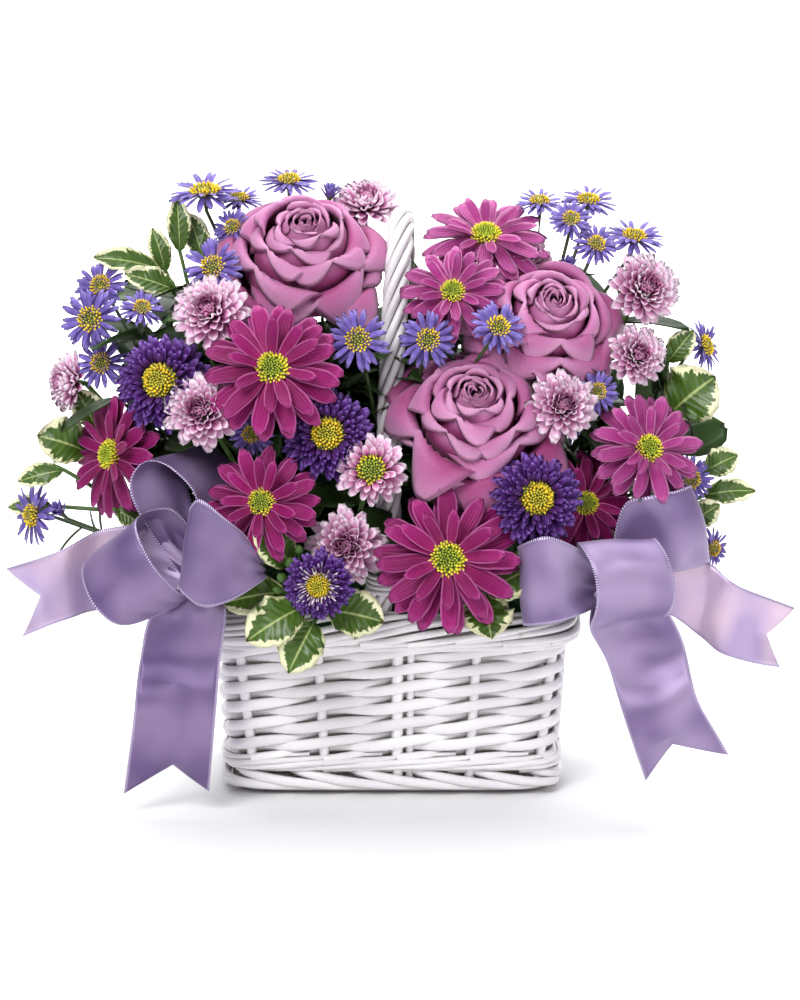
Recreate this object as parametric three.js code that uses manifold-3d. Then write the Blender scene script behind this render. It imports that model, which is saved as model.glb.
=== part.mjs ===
// Flower basket arrangement: a white willow basket with a fixed arch handle, a liner and floral foam,
// filled with roses, daisy mums, cushion mums, double asters, small asters and variegated leaves,
// with a satin bow at each front corner.
// Millimetres, +Z up. The origin is the centre of the flat underside; the basket's front faces -Y.

import * as THREE from "three";
import { mergeVertices } from "three/addons/utils/BufferGeometryUtils.js";
import Module from "manifold-3d";

const wasm = await Module();
wasm.setup();

// ---- Driving dimensions -----------------------------------------------------------------------

const GAP = 0.3; // clearance between pieces that rest on or in one another
const PLAN_POWER = 6; // roundness of the basket's plan: 2 is an ellipse, larger is squarer
const FOOT = { x: 85, y: 53, height: 12, thick: 6.6 };
const WALL = { baseX: 82, baseY: 50, topX: 86, topY: 58, top: 76, thick: 4, floor: 6, stakes: 18, courses: 6 };
const RIM = { x: 88.5, y: 58.5, z: 82.6, wide: 7, high: 6, ridges: 22 };
const HANDLE = { frontX: -7, backX: 8, reach: 48.6, spring: 88, apex: 279, radius: 5.6, foot: 36, lobes: 4 };
const LINER = { bottomX: 72, bottomY: 39.5, topX: 78, topY: 44.5, top: 79, thick: 1.2 };
const FOAM = { bottomX: 69, bottomY: 37, topX: 72, topY: 41, shoulder: 98, top: 108 };
const STEM = { rose: 2.6, daisy: 1.9, cushion: 1.7, double: 1.8, small: 1.3, leaf: 1.4, pick: 1.5 };
const RIBBON_THICK = 0.9;

// ---- The viewpoint that the bloom positions were measured from --------------------------------
// A picture 800 wide and 1000 high taken level with the flowers and 12 degrees down: a bloom is given
// by its picture position and its distance y from the basket's middle plane.

const VIEW = { down: THREE.MathUtils.degToRad(12), distance: 1600, x: 4.25, z: 138, scale: 0.5 };

function seenAt(px, py, y) {
  const across = (px - 400) * VIEW.scale;
  const up = (500 - py) * VIEW.scale;
  const cos = Math.cos(VIEW.down);
  const sin = Math.sin(VIEW.down);
  const rise =
    (up * (1 + (y * cos) / VIEW.distance) - y * sin) / (cos + (up * sin) / VIEW.distance);
  const near = rise * sin - y * cos;
  return new THREE.Vector3(
    VIEW.x + (across * (VIEW.distance - near)) / VIEW.distance,
    y,
    VIEW.z + rise,
  );
}

// ---- Skins and solids -------------------------------------------------------------------------

const vec = (x, y, z) => new THREE.Vector3(x, y, z);
const turn = (share) => share * Math.PI * 2;

let seed = 20;
function random(low = 0, high = 1) {
  seed = (seed * 16807) % 2147483647;
  return low + ((high - low) * seed) / 2147483647;
}

function skin(points, faces) {
  const geometry = new THREE.BufferGeometry();
  const flat = points.flatMap((p) => [p.x, p.y, p.z]);
  geometry.setAttribute("position", new THREE.Float32BufferAttribute(flat, 3));
  geometry.setIndex(faces.flat());
  return geometry;
}

// A closed skin as a solid that can be joined and cut, its faces turned outwards.
function solidOf(geometry) {
  const bare = geometry.clone();
  bare.deleteAttribute("normal");
  bare.deleteAttribute("uv");
  const merged = mergeVertices(bare, 1e-4);
  const vertProperties = merged.attributes.position.array;
  const triVerts = new Uint32Array(merged.index.array);
  const made = new wasm.Manifold(new wasm.Mesh({ numProp: 3, vertProperties, triVerts }));
  if (made.volume() >= 0) return made;
  for (let i = 0; i < triVerts.length; i += 3) {
    [triVerts[i + 1], triVerts[i + 2]] = [triVerts[i + 2], triVerts[i + 1]];
  }
  return new wasm.Manifold(new wasm.Mesh({ numProp: 3, vertProperties, triVerts }));
}

function geometryOf(solid) {
  const mesh = solid.getMesh();
  const geometry = new THREE.BufferGeometry();
  const count = mesh.vertProperties.length / mesh.numProp;
  const flat = new Float32Array(count * 3);
  for (let i = 0; i < count; i++) {
    for (let k = 0; k < 3; k++) flat[i * 3 + k] = mesh.vertProperties[i * mesh.numProp + k];
  }
  geometry.setAttribute("position", new THREE.BufferAttribute(flat, 3));
  geometry.setIndex(new THREE.BufferAttribute(new Uint32Array(mesh.triVerts), 1));
  return geometry;
}

// The same skin with every point moved out along its own normal.
function swollen(solid, by) {
  const geometry = geometryOf(solid);
  geometry.computeVertexNormals();
  const { position, normal } = geometry.attributes;
  for (let i = 0; i < position.count; i++) {
    position.setXYZ(
      i,
      position.getX(i) + normal.getX(i) * by,
      position.getY(i) + normal.getY(i) * by,
      position.getZ(i) + normal.getZ(i) * by,
    );
  }
  return solidOf(geometry);
}

// A skin through rings of points. Open ends are closed with a fan; a loop joins its last ring to its first.
// Each four-sided patch is split one way, or the other way where `crossed` says so.
function throughRings(rings, loop = false, crossed = () => false) {
  const around = rings[0].length;
  const points = rings.flat();
  const faces = [];
  const spans = loop ? rings.length : rings.length - 1;
  for (let i = 0; i < spans; i++) {
    const next = (i + 1) % rings.length;
    for (let j = 0; j < around; j++) {
      const k = (j + 1) % around;
      const [a, b] = [i * around + j, i * around + k];
      const [c, d] = [next * around + k, next * around + j];
      if (crossed(i, j)) faces.push([a, b, d], [b, c, d]);
      else faces.push([a, b, c], [a, c, d]);
    }
  }
  if (!loop) {
    const last = (rings.length - 1) * around;
    for (let j = 1; j < around - 1; j++) {
      faces.push([0, j + 1, j], [last, last + j, last + j + 1]);
    }
  }
  return skin(points, faces);
}

// Rings about +Z from [radius, z] pairs that run upwards; a zero radius closes to a point.
function turned(profile, sides) {
  const rings = profile.map(([radius, z]) =>
    Array.from({ length: sides }, (_, j) => {
      const angle = turn(j / sides);
      return vec(Math.cos(angle) * radius, Math.sin(angle) * radius, z);
    }),
  );
  return throughRings(rings);
}

// A many-sided rod along a run of points, its section carried along the path without a twist.
function rod(path, radius, sides) {
  let across = null;
  const rings = path.map((point, i) => {
    const before = path[Math.max(i - 1, 0)];
    const after = path[Math.min(i + 1, path.length - 1)];
    const along = after.clone().sub(before).normalize();
    across ??= Math.abs(along.z) > 0.8 ? vec(1, 0, 0) : vec(0, 0, 1);
    across = across.clone().addScaledVector(along, -across.dot(along)).normalize();
    const other = along.clone().cross(across);
    return Array.from({ length: sides }, (_, j) => {
      const angle = turn(j / sides);
      return point
        .clone()
        .addScaledVector(across, Math.cos(angle) * radius)
        .addScaledVector(other, Math.sin(angle) * radius);
    });
  });
  return solidOf(throughRings(rings));
}

// Even points along a rounded rectangle, each with its outward direction, starting at +X.
function planPoints(x, y, count, power = PLAN_POWER) {
  const fine = 1440;
  const at = (i) => {
    const angle = turn(i / fine);
    const c = Math.cos(angle);
    const s = Math.sin(angle);
    return new THREE.Vector2(
      x * Math.sign(c) * Math.abs(c) ** (2 / power),
      y * Math.sign(s) * Math.abs(s) ** (2 / power),
    );
  };
  const lengths = [0];
  for (let i = 1; i <= fine; i++) lengths.push(lengths[i - 1] + at(i).distanceTo(at(i - 1)));
  const points = [];
  let i = 0;
  for (let k = 0; k < count; k++) {
    const wanted = (lengths[fine] * k) / count;
    while (lengths[i + 1] <= wanted) i++;
    const share = (wanted - lengths[i]) / (lengths[i + 1] - lengths[i]);
    const here = at(i).lerp(at(i + 1), share);
    const out = at(i + 1).sub(at(i));
    points.push({ x: here.x, y: here.y, out: new THREE.Vector2(out.y, -out.x).normalize() });
  }
  return points;
}

// ---- Basket -----------------------------------------------------------------------------------

const mix = THREE.MathUtils.lerp;

// The wall is one woven body with its floor. Each course of rods passes in front of every second stake.
function basketBody() {
  const columns = WALL.stakes * 2;
  const ringAt = (x, y, z, push = () => 0) =>
    planPoints(x, y, columns).map((p, i) => vec(p.x + p.out.x * push(i), p.y + p.out.y * push(i), z));
  const low = FOOT.height + GAP;
  const pitch = (WALL.top - low) / WALL.courses;
  const rings = [
    ringAt(FOOT.x - FOOT.thick - GAP, FOOT.y - FOOT.thick - GAP, 0),
    ringAt(FOOT.x - FOOT.thick - GAP, FOOT.y - FOOT.thick - GAP, low),
  ];
  for (let course = 0; course < WALL.courses; course++) {
    const front = (i) => i % 2 === 0 && (i / 2 + course) % 2 === 0;
    const levels = [
      [0.04, (i) => (i % 2 ? -1.8 : -0.6)],
      [0.54, (i) => (front(i) ? 2.4 : i % 2 ? 0.7 : -1.2)],
    ];
    for (const [share, push] of levels) {
      const z = low + pitch * (course + share);
      const rise = (z - low) / (WALL.top - low);
      rings.push(ringAt(mix(WALL.baseX, WALL.topX, rise), mix(WALL.baseY, WALL.topY, rise), z, push));
    }
  }
  rings.push(ringAt(WALL.topX, WALL.topY, WALL.top));
  rings.push(ringAt(WALL.topX - WALL.thick, WALL.topY - WALL.thick, WALL.top));
  rings.push(ringAt(LINER.bottomX + 3, LINER.bottomY + 3.5, WALL.floor));
  return solidOf(throughRings(rings, false, (i, j) => (i + j) % 2 === 1));
}

// A rolled border: a ring whose section turns as it goes, so its rods show as slanted ridges.
function border({ x, y, z, wide, high, ridges }, columns, sides, flatBottom = false) {
  const rings = planPoints(x, y, columns).map((p, i) =>
    Array.from({ length: sides }, (_, j) => {
      const angle = turn(j / sides);
      const ridge = 1 - 0.1 * (1 - Math.cos(angle + turn((ridges * i) / columns)));
      const out = Math.cos(angle) * wide * ridge;
      const lift = Math.sin(angle) * high * ridge;
      return vec(p.x + p.out.x * out, p.y + p.out.y * out, Math.max(z + lift, flatBottom ? 0 : z - high));
    }),
  );
  return solidOf(throughRings(rings, true));
}

function rimBorder(grow = 0) {
  const size = { ...RIM, wide: RIM.wide + grow, high: RIM.high + grow };
  return border(grow ? { ...size, ridges: 0 } : size, grow ? 36 : 44, 6);
}

// The foot border is a plait with a flat underside, its inner face flush against the base.
function footBorder() {
  const half = FOOT.thick / 2;
  const rings = planPoints(FOOT.x - half, FOOT.y - half, 36).map((p, i) => {
    const bulge = i % 2 ? 0.7 : -0.7;
    const section = [
      [half - 0.8 + bulge * 0.4, 0],
      [half + bulge, 3.6],
      [half - bulge, 8.4],
      [half - 0.9 + bulge * 0.4, FOOT.height],
      [-half, FOOT.height],
      [-half, 0],
    ];
    return section.map(([out, z]) => vec(p.x + p.out.x * out, p.y + p.out.y * out, z));
  });
  return solidOf(throughRings(rings, true));
}

// The handle's centre line, from the front foot over the apex to the rear foot.
function handleLine(count) {
  const points = [];
  const square = 2 / 2.5;
  const apexX = (HANDLE.frontX + HANDLE.backX) / 2 + 4.5;
  for (let i = 0; i <= count; i++) {
    const angle = (Math.PI * i) / count;
    const y = -HANDLE.reach * Math.sign(Math.cos(angle)) * Math.abs(Math.cos(angle)) ** square;
    const rise = Math.abs(Math.sin(angle)) ** square;
    const side = i < count / 2 ? HANDLE.frontX : HANDLE.backX;
    const x = mix(side, mix(side, apexX, 0.45), Math.min(rise * 5, 1));
    points.push(vec(mix(x, apexX, rise ** 3), y, mix(HANDLE.spring, HANDLE.apex, rise)));
  }
  return points;
}

// A bundle of twisted rods; a wrap band thickens it over each foot, and the feet are flat and go down
// between the wall and the liner.
function handle(grow = 0) {
  const arch = handleLine(24);
  const total = arch.length;
  const rings = arch.map((point, i) => {
    const before = arch[Math.max(i - 1, 0)];
    const after = arch[Math.min(i + 1, total - 1)];
    const along = after.clone().sub(before).normalize();
    const side = vec(1, 0, 0);
    side.addScaledVector(along, -side.dot(along)).normalize();
    const front = along.clone().cross(side);
    const band = i === 1 || i === total - 2;
    return Array.from({ length: HANDLE.lobes * 2 }, (_, j) => {
      const angle = turn(j / (HANDLE.lobes * 2) + i * 0.035);
      const lobe = band || grow ? 1.12 : j % 2 ? 1.12 : 0.86;
      const radius = HANDLE.radius * lobe + grow;
      return point
        .clone()
        .addScaledVector(side, Math.cos(angle) * radius)
        .addScaledVector(front, Math.sin(angle) * radius * (i === 0 || i === total - 1 ? 0.42 : 1));
    });
  });
  const feet = [
    [HANDLE.frontX, -1],
    [HANDLE.backX, 1],
  ].map(([x, way]) => {
    const section = (y, z) => {
      const half = 2.1 + grow;
      const wide = 6 + grow;
      return [
        vec(x - wide, y - half, z),
        vec(x + wide, y - half, z),
        vec(x + wide, y + half, z),
        vec(x - wide, y + half, z),
      ];
    };
    const top = section(way * HANDLE.reach, HANDLE.spring + 4);
    return solidOf(
      throughRings([section(way * 45.1, HANDLE.foot), section(way * HANDLE.reach, HANDLE.spring - 8), top]),
    );
  });
  return solidOf(throughRings(rings)).add(feet[0]).add(feet[1]);
}

function liner() {
  const columns = 24;
  const ringAt = (x, y, z) => planPoints(x, y, columns).map((p) => vec(p.x, p.y, z));
  const { bottomX, bottomY, topX, topY, top, thick } = LINER;
  const floor = WALL.floor + GAP;
  return solidOf(
    throughRings([
      ringAt(bottomX, bottomY, floor),
      ringAt(topX, topY, top),
      ringAt(topX - thick, topY - thick, top),
      ringAt(bottomX - thick, bottomY - thick, floor + thick),
    ]),
  );
}

function foamBlock() {
  const columns = 16;
  const ringAt = (x, y, z) => planPoints(x, y, columns, 4).map((p) => vec(p.x, p.y, z));
  return solidOf(
    throughRings([
      ringAt(FOAM.bottomX, FOAM.bottomY, WALL.floor + LINER.thick + 2 * GAP),
      ringAt(FOAM.topX, FOAM.topY, FOAM.shoulder),
      ringAt(FOAM.topX - 10, FOAM.topY - 9, FOAM.top),
    ]),
  );
}

// ---- Blooms, each made facing +Z with its face's centre at the origin --------------------------

// A whorl of flat petals fused to a small hub. Neighbours share their root corners and lie alternately
// higher and lower, as broad petals do.
function whorl({ petals, root, reach, wide, hub = 1.6, thick = 1.5, mid = 0, tip = 0, layer = 0, vary = 0.06 }) {
  const points = [vec(0, 0, hub / 2), vec(0, 0, -hub)];
  const faces = [];
  const step = turn(1 / petals);
  for (let i = 0; i < petals; i++) {
    const angle = i * step;
    const rootAngle = angle - step / 2;
    const along = vec(Math.cos(angle), Math.sin(angle), 0);
    const side = vec(-Math.sin(angle), Math.cos(angle), 0);
    const low = i % 2;
    const long = reach * (low ? 1 : 0.94) * (1 + random(-vary, vary));
    const lift = (low ? -layer : layer) + random(-0.4, 0.4);
    const at = (share, across, z) =>
      along.clone().multiplyScalar(mix(root, long, share)).addScaledVector(side, across).setZ(z);
    points.push(
      vec(Math.cos(rootAngle) * root, Math.sin(rootAngle) * root, hub / 2),
      vec(Math.cos(rootAngle) * root, Math.sin(rootAngle) * root, -hub / 2),
      at(0.66, -wide / 2, mid + lift),
      at(0.66, wide / 2, mid + lift),
      at(1, -wide * 0.24, tip + lift),
      at(1, wide * 0.24, tip + lift),
      at(0.6, 0, mid + lift - thick),
    );
    const own = 2 + i * 7;
    const [topA, lowA, left, right, tipL, tipR, keel] = [0, 1, 2, 3, 4, 5, 6].map((k) => own + k);
    const next = 2 + ((i + 1) % petals) * 7;
    const [topB, lowB] = [next, next + 1];
    faces.push([0, topA, topB], [1, lowB, lowA]);
    faces.push([topA, left, topB], [topB, left, right], [left, tipL, right], [right, tipL, tipR]);
    faces.push([lowA, lowB, keel], [lowB, right, keel], [right, tipR, keel]);
    faces.push([tipR, tipL, keel], [tipL, left, keel], [left, lowA, keel]);
    faces.push([topA, lowA, left], [topB, right, lowB]);
  }
  return skin(points, faces);
}

// A star of thin pointed petals round a raised disc.
function star({ size, petals = 9, hub = 0.26, crown = 3, tip = 0.2, under = -2.6 }) {
  const points = [vec(0, 0, crown), vec(0, 0, under)];
  const faces = [];
  const ring = size * hub;
  for (let i = 0; i < petals; i++) {
    const edge = turn((i - 0.5) / petals);
    const angle = turn(i / petals);
    const long = size * random(0.93, 1.05);
    points.push(
      vec(Math.cos(edge) * ring, Math.sin(edge) * ring, Math.min(crown, 1.3)),
      vec(Math.cos(edge) * ring, Math.sin(edge) * ring, -1),
      vec(Math.cos(angle) * long, Math.sin(angle) * long, tip + random(-1.2, 1.2)),
    );
    const own = 2 + i * 3;
    const next = 2 + ((i + 1) % petals) * 3;
    const [topA, lowA, end] = [own, own + 1, own + 2];
    const [topB, lowB] = [next, next + 1];
    faces.push([0, topA, topB], [1, lowB, lowA], [topA, end, topB], [lowA, lowB, end]);
    faces.push([topA, lowA, end], [topB, end, lowB]);
  }
  return skin(points, faces);
}

// A dense head: rows of pointed petals on a dome, each petal a four-sided point over a diamond of the dome.
function tufted({ petals, rows, core, reach, height, top = 0.2, bottom = 1.75, droop = 0.25, dip = 0.6 }) {
  const points = [];
  const faces = [];
  const onDome = (around, slope, size, tall) => {
    const ring = Math.sin(slope) * size;
    return vec(Math.cos(turn(around)) * ring, Math.sin(turn(around)) * ring, Math.cos(slope) * tall);
  };
  const slopeAt = (row) => mix(top, bottom, row / rows);
  const index = (row, i) => row * petals + ((i + petals) % petals);
  for (let row = 0; row <= rows; row++) {
    for (let i = 0; i < petals; i++) {
      points.push(onDome((i + (row % 2) / 2) / petals, slopeAt(row), core, height * 0.62));
    }
  }
  for (let row = 1; row < rows; row++) {
    const shift = row % 2;
    for (let i = 0; i < petals; i++) {
      const grown = mix(0.72, 1, Math.sin((Math.min(row / rows, 0.75) * Math.PI) / 1.5)) * random(0.95, 1.05);
      points.push(
        onDome(
          (i + 0.5 + shift / 2) / petals,
          slopeAt(row) + droop * (row / rows),
          reach * grown,
          height * grown,
        ),
      );
      const tipAt = points.length - 1;
      const [above, left] = [index(row - 1, i + shift), index(row, i)];
      const [right, below] = [index(row, i + 1), index(row + 1, i + shift)];
      faces.push([above, left, tipAt], [left, below, tipAt], [below, right, tipAt], [right, above, tipAt]);
    }
  }
  points.push(vec(0, 0, height * dip), vec(0, 0, Math.cos(bottom) * height * 0.62 - 2));
  const crown = points.length - 2;
  for (let i = 0; i < petals; i++) {
    const lastShift = rows % 2;
    faces.push([crown, index(0, i), index(0, i + 1)], [index(0, i), index(1, i), index(0, i + 1)]);
    faces.push([index(rows, i + 1), index(rows, i), crown + 1]);
    faces.push([index(rows, i), index(rows, i + 1), index(rows - 1, i + lastShift)]);
  }
  return skin(points, faces);
}

// One rose petal: a curved shell round the axis, leaning out and curling back at its lip.
function rosePetal({ angle, spread, low, high, base, lip, curl, thick, up }) {
  const across = 3;
  const face = (inset) => {
    const grid = [];
    for (let v = 0; v <= up; v++) {
      for (let u = 0; u <= across; u++) {
        const side = (2 * u) / across - 1;
        const rise = v / up;
        const bow = 1 - 0.16 * side * side * rise;
        const around = angle + side * spread * Math.sin(Math.PI * mix(0.25, 0.6, rise));
        const radius = mix(base, lip, rise ** 0.75) + (v === up ? curl : 0) * (1 - side * side * 0.5) - inset;
        const z = mix(low, high, rise * bow) - (v === up ? curl * 0.35 : 0);
        grid.push(vec(Math.cos(around) * radius, Math.sin(around) * radius, z));
      }
    }
    return grid;
  };
  const points = [...face(0), ...face(thick)];
  const inner = (up + 1) * (across + 1);
  const at = (u, v) => v * (across + 1) + u;
  const faces = [];
  for (let v = 0; v < up; v++) {
    for (let u = 0; u < across; u++) {
      const [a, b, c, d] = [at(u, v), at(u + 1, v), at(u + 1, v + 1), at(u, v + 1)];
      faces.push([a, b, c], [a, c, d]);
      faces.push([inner + a, inner + c, inner + b], [inner + a, inner + d, inner + c]);
    }
  }
  const edge = [];
  for (let u = 0; u < across; u++) edge.push(at(u, 0));
  for (let v = 0; v < up; v++) edge.push(at(across, v));
  for (let u = across; u > 0; u--) edge.push(at(u, up));
  for (let v = up; v > 0; v--) edge.push(at(0, v));
  edge.forEach((a, i) => {
    const b = edge[(i + 1) % edge.length];
    faces.push([b, a, inner + a], [b, inner + a, inner + b]);
  });
  return skin(points, faces);
}

// A rose head: a coiled bud, two inner rows and wide outer guard petals, fused at the base.
function roseHead(size) {
  const deep = size * 1.2;
  const coil = [
    [size * 0.14, -deep * 0.98],
    [size * 0.46, -deep * 0.84],
    [size * 0.34, -deep * 0.66],
    [size * 0.31, -deep * 0.16],
    [size * 0.14, 0],
  ];
  const rows = [
    { count: 3, spread: 0.98, high: -0.05, lip: 0.5, curl: 0.04, turn: 0.3, up: 2 },
    { count: 4, spread: 0.76, high: -0.13, lip: 0.7, curl: 0.1, turn: 0.1, up: 2 },
    { count: 5, spread: 0.62, high: -0.3, lip: 0.86, curl: 0.16, turn: 0.7, up: 2 },
  ];
  let head = solidOf(turned(coil, 6));
  for (const row of rows) {
    for (let i = 0; i < row.count; i++) {
      const petal = rosePetal({
        angle: turn((i + row.turn) / row.count) + random(-0.02, 0.02),
        spread: row.spread,
        low: -deep * 0.8,
        high: deep * (row.high + random(-0.03, 0.03)),
        base: size * (0.29 + row.lip * 0.08),
        lip: size * row.lip,
        curl: size * row.curl,
        thick: 1.2,
        up: row.up,
      });
      head = head.add(solidOf(petal));
    }
  }
  return geometryOf(head);
}

// ---- Placing ----------------------------------------------------------------------------------

// Blooms face (sin yaw cos pitch, -cos yaw cos pitch, sin pitch); yaw 0 pitch 0 faces the front.
function facing(yaw, pitch) {
  const [a, b] = [THREE.MathUtils.degToRad(yaw), THREE.MathUtils.degToRad(pitch)];
  return vec(Math.sin(a) * Math.cos(b), -Math.cos(a) * Math.cos(b), Math.sin(b));
}

function placed(geometry, at, out, spin = 0) {
  const up = Math.abs(out.z) > 0.95 ? vec(0, 1, 0) : vec(0, 0, 1);
  const x = up.clone().cross(out).normalize();
  const y = out.clone().cross(x);
  const matrix = new THREE.Matrix4().makeBasis(x, y, out).setPosition(at);
  return solidOf(geometry.clone().rotateZ(spin).applyMatrix4(matrix));
}

// Where a stem's lower end stands in the foam, seen from the bloom it carries.
function foamSeat(at, shift = [0, 0, 0]) {
  return vec(at.x * 0.4 + shift[0], at.y * 0.28 + shift[1], 84 + (at.z - 84) * 0.1 + shift[2]);
}

// A stem and, for the cuts that keep other pieces clear of it, the same stem a little thicker.
function stemRun(points, radius, sides = 4) {
  return { solid: rod(points, radius, sides), room: rod(points, radius + GAP * 1.5, sides) };
}

function joined(runs) {
  return {
    solid: runs.map((r) => r.solid).reduce((a, b) => a.add(b)),
    room: runs.map((r) => r.room).reduce((a, b) => a.add(b)),
  };
}

// A main stem whose clearance also takes in the stalks that leave it.
function withRooms(main, branches) {
  return { solid: main.solid, room: branches.reduce((sum, { room }) => sum.add(room), main.room) };
}

const middleOf = (points) =>
  points.reduce((sum, p) => sum.add(p), vec(0, 0, 0)).divideScalar(points.length);

// Where a spray's branches leave its main stem: the farthest bloom's at the fork, the others' below it.
function jointsOf(ends, fork, seat) {
  const order = ends.map((_, i) => i).sort((a, b) => ends[b].distanceTo(fork) - ends[a].distanceTo(fork));
  const joints = [];
  order.forEach((index, place) => {
    joints[index] = fork.clone().lerp(seat, (0.3 * place) / ends.length);
  });
  return joints;
}

// One main stem and a branch to each bloom, by way of a detour where it has one.
function spray(ends, radius, seat, fork, detours = []) {
  const joints = jointsOf(ends, fork, seat);
  const runs = ends.map((end, i) => {
    const path = [end, ...(detours[i] ? [vec(...detours[i])] : []), joints[i]];
    return joints[i].equals(fork) ? stemRun([...path, seat], radius) : stemRun(path, radius * 0.9, 3);
  });
  return joined(runs);
}

const COLOUR = {
  willow: "#E8E6E8",
  liner: "#2E3A2C",
  foam: "#3F6B4A",
  rose: "#C77DB5",
  daisy: "#B0328C",
  disc: "#A9B238",
  cushion: "#CC86C2",
  double: "#4A2C9C",
  gold: "#E9C81C",
  small: "#7666C4",
  green: "#4E6B2E",
  leaf: "#6E8B3C",
  satin: "#9B7FC4",
};

const pieces = [];

// ---- Roses: picture position of the coil, depth, size, yaw and pitch ---------------------------

const ROSES = [
  { px: 305, py: 220, y: -40, size: 38, yaw: 4, pitch: 60 },
  { px: 556, py: 297, y: -54, size: 33, yaw: 14, pitch: 50 },
  { px: 474, py: 390, y: -78, size: 37, yaw: 3, pitch: 52 },
];

ROSES.forEach(({ px, py, y, size, yaw, pitch, shift }, i) => {
  const at = seenAt(px, py, y);
  const out = facing(yaw, pitch);
  const foot = at.clone().addScaledVector(out, -size * 1.2 - 0.4);
  const sepals = placed(star({ size: size * 0.6, petals: 5, hub: 0.36, crown: 0, tip: -5, under: -8 }), foot, out);
  const stem = stemRun([foot.clone().addScaledVector(out, -3), foamSeat(at, shift)], STEM.rose, 5);
  stem.solid = stem.solid.add(sepals);
  stem.room = stem.room.add(swollen(sepals, 0.5));
  const cover = turned(
    [
      [size * 0.2, -size * 1.2 - 0.3],
      [size * 0.62, -size],
      [size, -size * 0.5],
      [size, -size * 0.24],
      [size * 0.4, 2],
    ],
    10,
  );
  pieces.push({
    name: `rose_${i + 1}_petals`,
    head: placed(roseHead(size), at, out, random(0, 6)),
    cover: placed(cover, at, out),
    colour: COLOUR.rose,
    rough: 0.6,
    rank: 90,
  });
  pieces.push({ name: `rose_${i + 1}_stem`, stem, colour: COLOUR.green, rough: 0.65, rank: 100 });
});

// ---- Daisy mums: a whorl of petals round a disc; the discs share branching stems ----------------

const DAISIES = [
  { px: 486, py: 237, y: -16, size: 32, yaw: 0, pitch: 56 },
  { px: 453, py: 293, y: -48, size: 26, yaw: -4, pitch: 34 },
  { px: 113, py: 455, y: -42, size: 32, yaw: -50, pitch: 12 },
  { px: 272, py: 369, y: -80, size: 34, yaw: 0, pitch: 26, detour: [-60, -44, 184] },
  { px: 262, py: 503, y: -84, size: 28.5, yaw: -6, pitch: 18 },
  { px: 585, py: 503, y: -58, size: 26, yaw: 14, pitch: 14 },
  { px: 448, py: 559, y: -92, size: 36, yaw: 0, pitch: 16 },
  { px: 648, py: 449, y: -64, size: 28.5, yaw: 16, pitch: 26 },
  { at: [-34, 66, 176], size: 32, yaw: 190, pitch: 30 },
];
const DAISY_SPRAYS = [
  { blooms: [1, 2], shift: [4, 0, 4] },
  { blooms: [3, 4, 5], shift: [0, -4, -2] },
  { blooms: [6, 7, 8], shift: [6, -6, -2] },
  { blooms: [9], shift: [0, 0, 0] },
];

function daisyDisc(size) {
  const r = size * 0.22;
  return turned(
    [
      [1.5, -9],
      [4, -2.6],
      [2.2, -2.5],
      [2.2, 1.1],
      [r, 1.4],
      [r * 0.6, 3.8],
    ],
    6,
  );
}

const spot = ({ px, py, y, at }) => (at ? vec(...at) : seenAt(px, py, y));

DAISIES.forEach((bloom, i) => {
  const { size } = bloom;
  const at = spot(bloom);
  const out = facing(bloom.yaw, bloom.pitch);
  const petals = whorl({ petals: 16, root: size * 0.16, reach: size, wide: size * 0.24, tip: -1.5, layer: 1.3 });
  const bore = turned(
    [
      [2.2 + GAP + 0.1, -8],
      [2.2 + GAP + 0.1, 8],
    ],
    6,
  );
  const cover = turned(
    [
      [3, -6],
      [size * 1.05, -6.4],
      [size * 1.05, 3.4],
      [size * 0.3, 4.6],
    ],
    12,
  );
  pieces.push({
    name: `daisy_${i + 1}_petals`,
    head: placed(petals, at, out, 0.1 * i).subtract(placed(bore, at, out)),
    cover: placed(cover, at, out),
    colour: COLOUR.daisy,
    rough: 0.6,
    rank: i === 6 ? 86 : 80,
  });
});

DAISY_SPRAYS.forEach(({ blooms, shift, fork }, i) => {
  const discs = blooms.map((n) => {
    const bloom = DAISIES[n - 1];
    return { at: spot(bloom), out: facing(bloom.yaw, bloom.pitch), size: bloom.size };
  });
  const ends = discs.map(({ at, out }) => at.clone().addScaledVector(out, -7));
  const middle = middleOf(ends);
  const seat = foamSeat(middle, shift);
  const detours = blooms.map((n) => DAISIES[n - 1].detour);
  const stem = spray(ends, STEM.daisy, seat, fork ? vec(...fork) : seat.clone().lerp(middle, 0.5), detours);
  discs.forEach(({ at, out, size }) => {
    stem.solid = stem.solid.add(placed(daisyDisc(size), at, out));
  });
  pieces.push({ name: `daisy_stems_${i + 1}`, stem, colour: COLOUR.disc, rough: 0.7, rank: 100 });
});

// ---- Cushion mums: dense heads, each on its own stem --------------------------------------------

const CUSHIONS = [
  { px: 211, py: 312, y: -58, size: 19.5, yaw: -12, pitch: 30 },
  { px: 366, py: 204, y: 2, size: 16.5, yaw: 6, pitch: 56 },
  { px: 522, py: 258, y: -14, size: 15, yaw: 10, pitch: 50 },
  { px: 644, py: 290, y: -34, size: 19, yaw: 18, pitch: 24 },
  { px: 637, py: 356, y: -46, size: 15.5, yaw: 16, pitch: 20 },
  { px: 70, py: 382, y: -14, size: 15.5, yaw: -60, pitch: 10 },
  { px: 202, py: 412, y: -76, size: 19.5, yaw: -10, pitch: 18, shift: [-12, 13, 8] },
  { px: 372, py: 470, y: -84, size: 18, yaw: -4, pitch: 20, via: [-15, -58, 144], shift: [-16, 0, 0] },
  { px: 347, py: 546, y: -76, size: 19.5, yaw: -4, pitch: 12 },
  { px: 562, py: 406, y: -66, size: 18, yaw: 8, pitch: 22 },
  { at: [32, 66, 186], size: 18, yaw: 172, pitch: 34, shift: [8, 0, -4] },
];

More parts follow.
